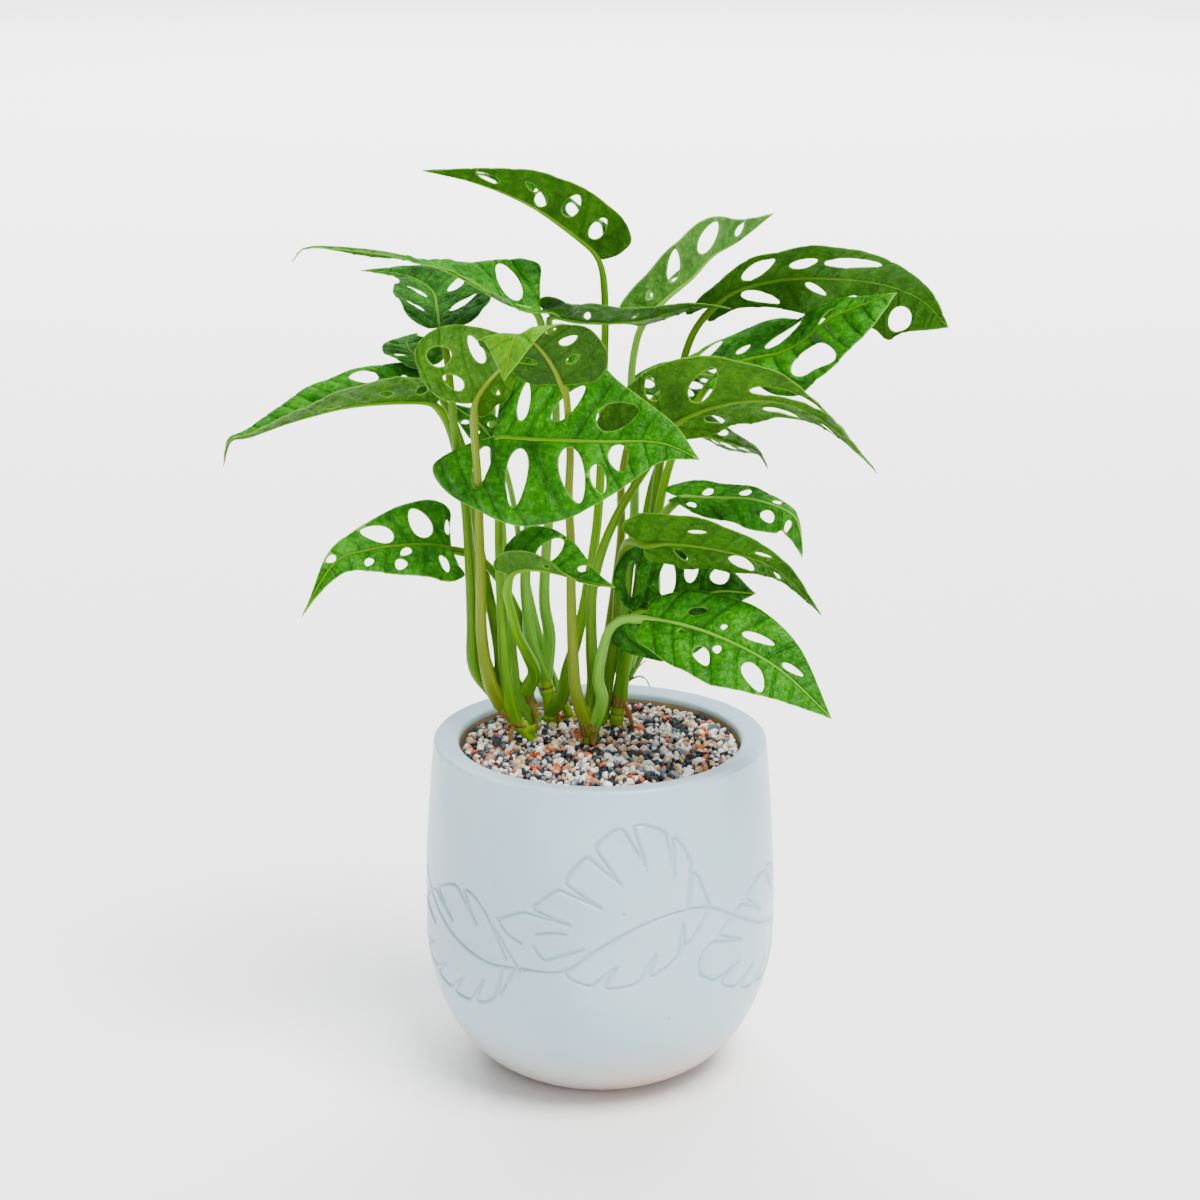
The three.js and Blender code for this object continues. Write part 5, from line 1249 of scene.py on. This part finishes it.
def garland_lines():
    """Every groove of one repeat: the vine, the halves of its leaves and three short strokes."""
    return [smooth_path(VINE, 120)[0],
            torn_half(FIRST_LEAF_TOP, (50, 112), 6, 27),
            torn_half(FIRST_LEAF_LOW, (52, 150), 3, 17, opening=6.5),
            torn_half(SECOND_LEAF_TOP, (180, 75), 4, 25),
            torn_half(SECOND_LEAF_LOW, (168, 118), 5, 20),
            smooth_path([(-64, 126), (-58, 119), (-48, 114)], 8)[0],
            smooth_path([(-38, 121), (-29, 123), (-20, 123)], 6)[0],
            smooth_path([(-40, 113), (-33, 106), (-24, 109), (-10, 114)], 12)[0]]


def line_distance(points, lines):
    """The distance of each point to the nearest line."""
    nearest = np.full(len(points), 99.0)
    for line in lines:
        for start, end in zip(line[:-1], line[1:]):
            span = end - start
            share = np.clip(((points - start) @ span) / max(span @ span, 1e-9), 0, 1)
            nearest = np.minimum(nearest, np.linalg.norm(points - start - share[:, None] * span, axis=1))
    return nearest


def staggered_fill(width, low, high, step):
    """Points in staggered rows, as oranges are stacked, clear of the borders."""
    rows = []
    for row, z in enumerate(np.arange(low + step, high - step * 0.5, step * ROW_SHARE)):
        us = np.arange(step * (0.25 + 0.5 * (row % 2)), width - step * 0.1, step)
        rows.append(np.column_stack([us, np.full(len(us), z)]))
    return np.vstack(rows)


drawn = garland_lines()
drawn = [line + np.array([shift * PERIOD, 0]) for shift in (0, 1) for line in drawn]
print("grooves in one repeat:", len(drawn) // 2)

# %% Fill the band with points and sink the grooves
COLUMNS = 160
EDGE_ROW_STEP = 1.0
GROOVE_WIDTH = 0.95
GROOVE_DEPTH = 1.2
RIDGE_RISE, RIDGE_PLACE, RIDGE_WIDTH = 0.3, 2.1, 0.9
# Each zone: the step between its points, and how near to a line it starts and ends.
FILL_ZONES = [(0.7, 0.0, 1.7), (1.5, 1.7, 4.0), (4.2, 4.0, 99.0)]

edge_heights = np.arange(BAND_LOW, BAND_HIGH + 0.1, EDGE_ROW_STEP)
seam = np.column_stack([np.zeros(len(edge_heights)), edge_heights])
rim_us = np.arange(1, COLUMNS) * (PERIOD / COLUMNS)
border = np.vstack([seam, seam + [PERIOD, 0], np.column_stack([rim_us, np.full(COLUMNS - 1, BAND_LOW)]),
                    np.column_stack([rim_us, np.full(COLUMNS - 1, BAND_HIGH)])])
fill = []
for step, near, far in FILL_ZONES:
    spots = staggered_fill(PERIOD, BAND_LOW, BAND_HIGH, step)
    spot_gap = line_distance(spots, drawn)
    fill.append(spots[(spot_gap >= near) & (spot_gap < far)])
found = geometry.delaunay_2d_cdt([tuple(p) for p in np.vstack([border, *fill])], [], [], 0, 1e-4)
strip = np.array([tuple(p) for p in found[0]])
strip_faces = np.array(found[2])
gap = line_distance(strip, drawn)
raised = (RIDGE_RISE * np.exp(-((gap - RIDGE_PLACE) / RIDGE_WIDTH) ** 2)
          - GROOVE_DEPTH * np.exp(-(gap / GROOVE_WIDTH) ** 2))
print("band points:", len(strip), "faces:", len(strip_faces))

# %% [markdown]
# ## The glaze
# The pot is stoneware under a satin glaze of pale blue-grey. The eye sees soft clouds a hand wide, a slow
# ripple of the thick coat, a little more colour where glaze pools in the grooves, and a few tiny iron specks.
# Near the foot a rosy tint, ragged with the clouds, is a painted warm reflection. Inside, below the lip, the
# clay is bare.

# %% Pot glaze
CLOUD_SIZE = 111
SPECK_SPACING = 14.3
RIPPLE_SIZE = 29
WARM_REFLECTION_TOP = 60
BARE_INSIDE = (85.2, 87.2)
BARE_MIDDLE, BARE_REACH = 180, 23.6

glaze, tree, shader = new_material("pale_blue_satin_glaze", Roughness=0.3, IOR=1.5, Specular_IOR_Level=0.36)
place = add(tree, "ShaderNodeTexCoord").outputs["Object"]
height = add(tree, "ShaderNodeSeparateXYZ", {0: place}).outputs[2]
clouds = add(tree, "ShaderNodeTexNoise",
             {"Vector": place, "Scale": pattern_scale(CLOUD_SIZE), "Detail": 4.0})
tone = add(tree, "ShaderNodeValToRGB", {0: clouds.outputs[0]},
           stops=[(0.3, colour("9ab8c6")), (0.7, colour("acc6d2"))])
# Painted warm reflection: a rosy tint from the foot up to 60 mm, ragged with the clouds.
thin = add(tree, "ShaderNodeMapRange", {0: height, 1: 0.0, 2: WARM_REFLECTION_TOP * MM, 3: 1.1, 4: 0.0},
           interpolation_type="SMOOTHSTEP")
warm_reflection_share = add(tree, "ShaderNodeMath", {0: thin.outputs[0], 1: clouds.outputs[0]}, operation="MULTIPLY")
with_warm_reflection = add(tree, "ShaderNodeMix", {0: warm_reflection_share.outputs[0], 6: tone.outputs[0], 7: colour("c08a5c")},
              data_type="RGBA")
pool = add(tree, "ShaderNodeAttribute", attribute_name="glaze_pool").outputs["Fac"]
pool = add(tree, "ShaderNodeMath", {0: pool, 1: 0.26}, operation="MULTIPLY")
pooled = add(tree, "ShaderNodeMix", {0: pool.outputs[0], 6: with_warm_reflection.outputs[2], 7: colour("6f909c")},
             data_type="RGBA")
level = add(tree, "ShaderNodeVectorMath", {0: place, 1: (1.0, 1.0, 0.0)}, operation="MULTIPLY")
from_axis = add(tree, "ShaderNodeVectorMath", {0: level.outputs[0]}, operation="LENGTH").outputs["Value"]
within = add(tree, "ShaderNodeMapRange",
             {0: from_axis, 1: BARE_INSIDE[0] * MM, 2: BARE_INSIDE[1] * MM, 3: 1.0, 4: 0.0})
low = add(tree, "ShaderNodeMath", {0: height, 1: BARE_MIDDLE * MM, 2: BARE_REACH * MM}, operation="COMPARE")
bare = add(tree, "ShaderNodeMath", {0: within.outputs[0], 1: low.outputs[0]}, operation="MULTIPLY")
lined = add(tree, "ShaderNodeMix", {0: bare.outputs[0], 6: pooled.outputs[2], 7: colour("9c8468")},
            data_type="RGBA")
specks = add(tree, "ShaderNodeTexVoronoi", {"Vector": place, "Scale": pattern_scale(SPECK_SPACING)})
speck = add(tree, "ShaderNodeMapRange", {0: specks.outputs["Distance"], 1: 0.03, 2: 0.07, 3: 0.6, 4: 0.0})
rare = add(tree, "ShaderNodeSeparateXYZ", {0: specks.outputs["Color"]}).outputs[0]
kept = add(tree, "ShaderNodeMapRange", {0: rare, 1: 0.8, 2: 0.82, 3: 0.0, 4: 1.0})
speck = add(tree, "ShaderNodeMath", {0: speck.outputs[0], 1: kept.outputs[0]}, operation="MULTIPLY")
mixed = add(tree, "ShaderNodeMix", {0: speck.outputs[0], 6: lined.outputs[2], 7: colour("6c6454")},
            data_type="RGBA")
tree.links.new(mixed.outputs[2], shader.inputs["Base Color"])
ripple = add(tree, "ShaderNodeTexNoise",
             {"Vector": place, "Scale": pattern_scale(RIPPLE_SIZE), "Detail": 3.0})
bump = add(tree, "ShaderNodeBump", {"Height": ripple.outputs[0], "Strength": 0.5, "Distance": 0.002})
tree.links.new(bump.outputs[0], shader.inputs["Normal"])
print("glaze nodes:", len(tree.nodes))

# %% Turn the plain parts of the pot
def spun(name, profile):
    """A surface spun from a profile of (radius, height)."""
    bpy.ops.object.select_all(action="DESELECT")
    mesh = bpy.data.meshes.new(name)
    edges = [(k, k + 1) for k in range(len(profile) - 1)]
    mesh.from_pydata([(r * MM, 0, z * MM) for r, z in profile], edges, [])
    mesh.materials.append(glaze)
    part = bpy.data.objects.new(name, mesh)
    bpy.context.scene.collection.objects.link(part)
    part.select_set(True)
    bpy.context.view_layer.objects.active = part
    bpy.ops.object.mode_set(mode="EDIT")
    bpy.ops.mesh.select_all(action="SELECT")
    bpy.ops.mesh.spin(steps=COLUMNS * REPEATS, angle=2 * math.pi, center=(0, 0, 0), axis=(0, 0, 1))
    bpy.ops.object.mode_set(mode="OBJECT")
    return part


foot_part = spun("pot_foot", foot_profile)
mouth_part = spun("pot_mouth", mouth_profile)
print("spun points:", len(foot_part.data.vertices) + len(mouth_part.data.vertices))

# %% Close the pot with the carved band
POOL_WIDTH = 0.9
POT_SHARP = 60
MERGE_REACH = 0.03

band_points = []
band_faces = []
pools = []
band_radius = np.array([wall_radius(z) for z in strip[:, 1]]) + raised
for repeat in range(REPEATS):
    turn = (strip[:, 0] + repeat * PERIOD) / WIDEST_RADIUS - math.pi / 2
    start = len(band_points)
    band_points.extend(
        np.column_stack([band_radius * np.cos(turn), band_radius * np.sin(turn), strip[:, 1]]).tolist())
    band_faces.extend((strip_faces + start).tolist())
    pools.extend(np.exp(-(gap / POOL_WIDTH) ** 2).tolist())
pot = make_piece("glazed_pot", band_points, band_faces, [glaze], node="pot",
                 sharp=POT_SHARP)
pot.data.attributes.new("glaze_pool", "FLOAT", "POINT").data.foreach_set("value", pools)
foot_part.select_set(True)
mouth_part.select_set(True)
bpy.ops.object.join()
bpy.ops.object.mode_set(mode="EDIT")
bpy.ops.mesh.select_all(action="SELECT")
bpy.ops.mesh.remove_doubles(threshold=MERGE_REACH * MM)
bpy.ops.mesh.normals_make_consistent(inside=False)
bpy.ops.object.mode_set(mode="OBJECT")
bpy.ops.object.shade_smooth_by_angle(angle=math.radians(POT_SHARP))
print("pot faces:", len(pot.data.polygons))

# %% [markdown]
# ## The gravel
# The top dressing is washed gravel, grains of 3 to 8 mm in white, cream, grey, blue-black, orange and pink.
# Each stone has its own quiet patches and a dull, water-worn skin. A few grain shapes are modelled once,
# each a small ball cut to blunt facets, and copied with their own turn, size and colour.

# %% Grain materials
STONE_PATCH = 3.8


def grain_material(name, first, second, roughness=0.42):
    """Water-worn stone, patchy between two tones of one mineral."""
    material, tree, shader = new_material(name, Roughness=roughness, IOR=1.54)
    place = add(tree, "ShaderNodeTexCoord").outputs["Object"]
    patches = add(tree, "ShaderNodeTexNoise", {"Vector": place, "Scale": pattern_scale(STONE_PATCH),
                                               "Detail": 4.0, "Roughness": 0.6})
    tone = add(tree, "ShaderNodeValToRGB", {0: patches.outputs[0]},
               stops=[(0.35, colour(first)), (0.65, colour(second))])
    tree.links.new(tone.outputs[0], shader.inputs["Base Color"])
    bump = add(tree, "ShaderNodeBump", {"Height": patches.outputs[0], "Strength": 0.25, "Distance": 0.0003})
    tree.links.new(bump.outputs[0], shader.inputs["Normal"])
    return material


GRAINS = [
    ("white_grains", 0.29, grain_material("white_quartz", "c2c2be", "ecebe6")),
    ("cream_grains", 0.12, grain_material("cream_quartz", "a4865c", "d0b88c")),
    ("dark_grains", 0.34, grain_material("blue_black_basalt", "0a0e14", "232c38")),
    ("grey_grains", 0.1, grain_material("grey_granite", "4a5560", "808a92")),
    ("orange_grains", 0.08, grain_material("orange_jasper", "a83a1c", "cc6430")),
    ("pink_grains", 0.07, grain_material("pink_feldspar", "94624a", "b88c70")),
]
# Painted shade: the bed's dark finish shows as the dim gaps between the grains.
shade_bed_finish = grain_material("shaded_gravel", "2a2622", "565049", roughness=0.8)
print("shares of the stones:", round(sum(share for _, share, _ in GRAINS), 2))

# %% Grain shapes
SEGMENTS, RINGS = 8, 5
FACET_CUTS = 9
FACET_DEPTH = (0.5, 0.85)
CUT_SHARE = 0.9


def grain_shape(seed):
    """Points of one grain about its centre, half size 1: a ball pressed flat at a few places."""
    dice = random.Random(seed)
    points = [(0.0, 0.0, 1.0)]
    for ring in range(1, RINGS):
        polar = math.pi * ring / RINGS
        for k in range(SEGMENTS):
            turn = 2 * math.pi * (k + 0.5 * (ring % 2)) / SEGMENTS
            points.append((math.sin(polar) * math.cos(turn), math.sin(polar) * math.sin(turn),
                           math.cos(polar)))
    points.append((0.0, 0.0, -1.0))
    points = np.array(points)
    for _ in range(FACET_CUTS):
        face = np.array([dice.gauss(0, 1) for _ in range(3)])
        face /= np.linalg.norm(face)
        depth = dice.uniform(*FACET_DEPTH)
        over = np.maximum(points @ face - depth, 0)
        points = points - over[:, None] * face * CUT_SHARE
    return points * np.array([dice.uniform(1.0, 1.5), dice.uniform(0.85, 1.1), dice.uniform(0.6, 0.9)])


def grain_faces():
    """The faces that every grain shape shares: a ring of triangles at each pole and quads between."""
    faces = [(0, 1 + k, 1 + (k + 1) % SEGMENTS) for k in range(SEGMENTS)]
    for ring in range(RINGS - 2):
        low = 1 + ring * SEGMENTS
        for k in range(SEGMENTS):
            nxt = (k + 1) % SEGMENTS
            faces.append((low + k, low + SEGMENTS + k, low + SEGMENTS + nxt, low + nxt))
    last = 1 + (RINGS - 1) * SEGMENTS
    low = last - SEGMENTS
    faces += [(last, low + (k + 1) % SEGMENTS, low + k) for k in range(SEGMENTS)]
    return faces


def turned(points, dice):
    """Points turned at random about all three axes."""
    quarter = [dice.gauss(0, 1) for _ in range(4)]
    w, x, y, z = np.array(quarter) / np.linalg.norm(quarter)
    matrix = np.array([[1 - 2 * (y * y + z * z), 2 * (x * y - z * w), 2 * (x * z + y * w)],
                       [2 * (x * y + z * w), 1 - 2 * (x * x + z * z), 2 * (y * z - x * w)],
                       [2 * (x * z - y * w), 2 * (y * z + x * w), 1 - 2 * (x * x + y * y)]])
    return points @ matrix.T


shapes = [grain_shape(seed) for seed in range(10)]
print("grain shapes:", len(shapes), "with", len(grain_faces()), "faces each")

# %% Place the grains
GRAVEL_EDGE = 201.5
GRAVEL_MOUND = 2.8
GRAIN_GAP = 4.3
SMALLEST_SHARE, SIZE_SPREAD, SIZE_POWER = 0.66, 1.0, 2.6
SCATTER_TRIES = 60000
SCATTER_CELL = 7.0
HALF_SIZE_SHARE = 0.62
GRAIN_SINK = 0.22
GRAIN_JITTER = 0.4
GRAIN_SHARP = 40
LAYER_DROPS = (0.2, -2.3)
WALL_CLEARANCE = 1.2
STEM_CLEARANCE = 0.3
GRAVEL_LEVEL = 203


def scatter_spots(reach):
    """Spots in a disc, each clear of the others by the two grains' sizes."""
    cells = {}
    spots = []
    for _ in range(SCATTER_TRIES):
        size = GRAIN_GAP * (SMALLEST_SHARE + SIZE_SPREAD * chance.random() ** SIZE_POWER)
        radius = (reach - size * 0.6) * math.sqrt(chance.random())
        turn = chance.uniform(0, 2 * math.pi)
        x, y = radius * math.cos(turn), radius * math.sin(turn)
        key = (int(x // SCATTER_CELL), int(y // SCATTER_CELL))
        near = [spot for dx in (-1, 0, 1) for dy in (-1, 0, 1)
                for spot in cells.get((key[0] + dx, key[1] + dy), [])]
        if all((x - a) ** 2 + (y - b) ** 2 > (0.5 * (size + c)) ** 2 for a, b, c in near):
            spot = (x, y, size)
            cells.setdefault(key, []).append(spot)
            spots.append(spot)
    return spots


def mound_height(x, y):
    """The gravel lies a little higher in the middle than at the wall."""
    return GRAVEL_EDGE + GRAVEL_MOUND * (1 - (x * x + y * y) / MOUTH_RADIUS ** 2)


loose = {name: ([], []) for name, _, _ in GRAINS}
stem_feet = [(stem_spot(name, GRAVEL_LEVEL), radius) for name, radius in stem_radius.items()]
placed = 0
for layer_drop in LAYER_DROPS:
    for x, y, size in scatter_spots(MOUTH_RADIUS - WALL_CLEARANCE):
        if any(math.hypot(x - foot[0], y - foot[1]) < radius + size * STEM_CLEARANCE
               for foot, radius in stem_feet):
            continue
        pick = chance.random()
        for name, share, _ in GRAINS:
            pick -= share
            if pick < 0:
                break
        shape = turned(shapes[chance.randrange(len(shapes))], chance) * size * HALF_SIZE_SHARE
        level_here = mound_height(x, y) + layer_drop + chance.uniform(-GRAIN_JITTER, GRAIN_JITTER)
        centre = np.array([x, y, level_here - size * GRAIN_SINK])
        points, faces = loose[name]
        start = len(points)
        points.extend((shape + centre).tolist())
        faces.extend(tuple(start + k for k in face) for face in grain_faces())
        placed += 1
for name, _, material in GRAINS:
    points, faces = loose[name]
    make_piece(name, points, faces, [material], node="gravel", sharp=GRAIN_SHARP)
print("grains:", placed)

# %% The shaded bed under the grains
# A dark sheet of painted shade, seen in the gaps between the grains.
BED_DEPTH = 6
BED_DROP = 5
BED_CLEARANCE = 0.8

bpy.ops.object.select_all(action="DESELECT")
bpy.ops.mesh.primitive_cylinder_add(
    vertices=96, radius=(MOUTH_RADIUS - BED_CLEARANCE) * MM, depth=BED_DEPTH * MM,
    location=(0, 0, (GRAVEL_EDGE - BED_DROP) * MM))
bed = bpy.context.object
bed.name = "painted_shade_bed"
bpy.ops.object.transform_apply(location=True, rotation=True, scale=True)
bed.data.materials.append(shade_bed_finish)
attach(bed, "root")
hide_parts("gravel")
print("bed faces:", len(bed.data.polygons))

# %% [markdown]
# ## The soil
# Potting soil fills the pot below the gravel and shows nowhere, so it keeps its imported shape. Its finish is
# still true to the real thing: dark, damp, quite matt crumbs a few millimetres wide.

# %% Soil finish
CRUMB_SIZE = 3.3

soil_skin, tree, shader = new_material("potting_soil_crumb", Roughness=0.95)
place = add(tree, "ShaderNodeTexCoord").outputs["Object"]
crumbs = add(tree, "ShaderNodeTexNoise",
             {"Vector": place, "Scale": pattern_scale(CRUMB_SIZE), "Detail": 5.0})
tone = add(tree, "ShaderNodeValToRGB", {0: crumbs.outputs[0]},
           stops=[(0.35, colour("1e140c")), (0.7, colour("4a3524"))])
tree.links.new(tone.outputs[0], shader.inputs["Base Color"])
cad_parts["potting_soil"].data.materials.clear()
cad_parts["potting_soil"].data.materials.append(soil_skin)
print("soil finish:", soil_skin.name)

# %% [markdown]
# ## Floor and light
# The photo was taken on a seamless white sweep in bright, soft, even light. A wide pale floor fills the
# view. A bright sky, brightest overhead and dark at both sides, fills every shadow and keeps the pot's edges
# clear. A wide soft light overhead shapes the leaves, a front panel lights the pot, and a lamp brightens the
# sweep far behind it. Sizes and places here are in metres.

# %% Floor
FLOOR_SIZE = 60

bpy.ops.mesh.primitive_plane_add(size=FLOOR_SIZE, location=(0, 0, 0))
floor = bpy.context.object
floor.name = "floor"
paper, tree, shader = new_material("white_paper_sweep", Roughness=0.95)
shader.inputs["Base Color"].default_value = colour("f3f3f3")
shader.inputs["Specular IOR Level"].default_value = 0.0
floor.data.materials.append(paper)
print("floor:", FLOOR_SIZE, "m")

# %% Sky
world = bpy.data.worlds.new("soft_studio")
bpy.context.scene.world = world
world.use_nodes = True
tree = world.node_tree
sky = next(n for n in tree.nodes if n.type == "BACKGROUND")
direction = add(tree, "ShaderNodeTexCoord").outputs["Generated"]
rise = add(tree, "ShaderNodeSeparateXYZ", {0: direction}).outputs[2]
ceiling = add(tree, "ShaderNodeMapRange", {0: rise, 1: 0.0, 2: 0.8, 3: 0.5, 4: 1.1})
aside = add(tree, "ShaderNodeSeparateXYZ", {0: direction}).outputs[0]
aside = add(tree, "ShaderNodeMath", {0: aside}, operation="ABSOLUTE").outputs[0]
walls = add(tree, "ShaderNodeMapRange", {0: aside, 1: 0.4, 2: 0.9, 3: 1.0, 4: 0.1})
brightness = add(tree, "ShaderNodeMath", {0: ceiling.outputs[0], 1: walls.outputs[0]}, operation="MULTIPLY")
sky.inputs[0].default_value = colour("f3f6fa")
tree.links.new(brightness.outputs[0], sky.inputs[1])
print("sky:", world.name)

# %% Lamps
def lamp(name, kind, spot, strength, tint, aim=(0, 0, 0.3), **settings):
    """A light at a spot in metres, turned to a point."""
    bpy.ops.object.light_add(type=kind, location=spot)
    made = bpy.context.object
    made.name = name
    made.data.energy = strength
    made.data.color = colour(tint)[:3]
    for key, value in settings.items():
        setattr(made.data, key, value)
    away = np.array(spot) - np.array(aim)
    made.rotation_euler = (math.atan2(math.hypot(away[0], away[1]), away[2]), 0,
                           math.atan2(away[0], -away[1]))


lamp("wide_top_light", "SUN", (0.7, -0.7, 2.4), 6.6, "fffdf8", angle=math.radians(30))
lamp("front_panel", "AREA", (0.7, -2.4, 1.0), 24, "ffffff", size=1.4)
lamp("sweep_light", "AREA", (0, 7.5, 6.0), 2300, "ffffff", aim=(0, 7.5, 0), size=10)
bpy.context.object.visible_glossy = False
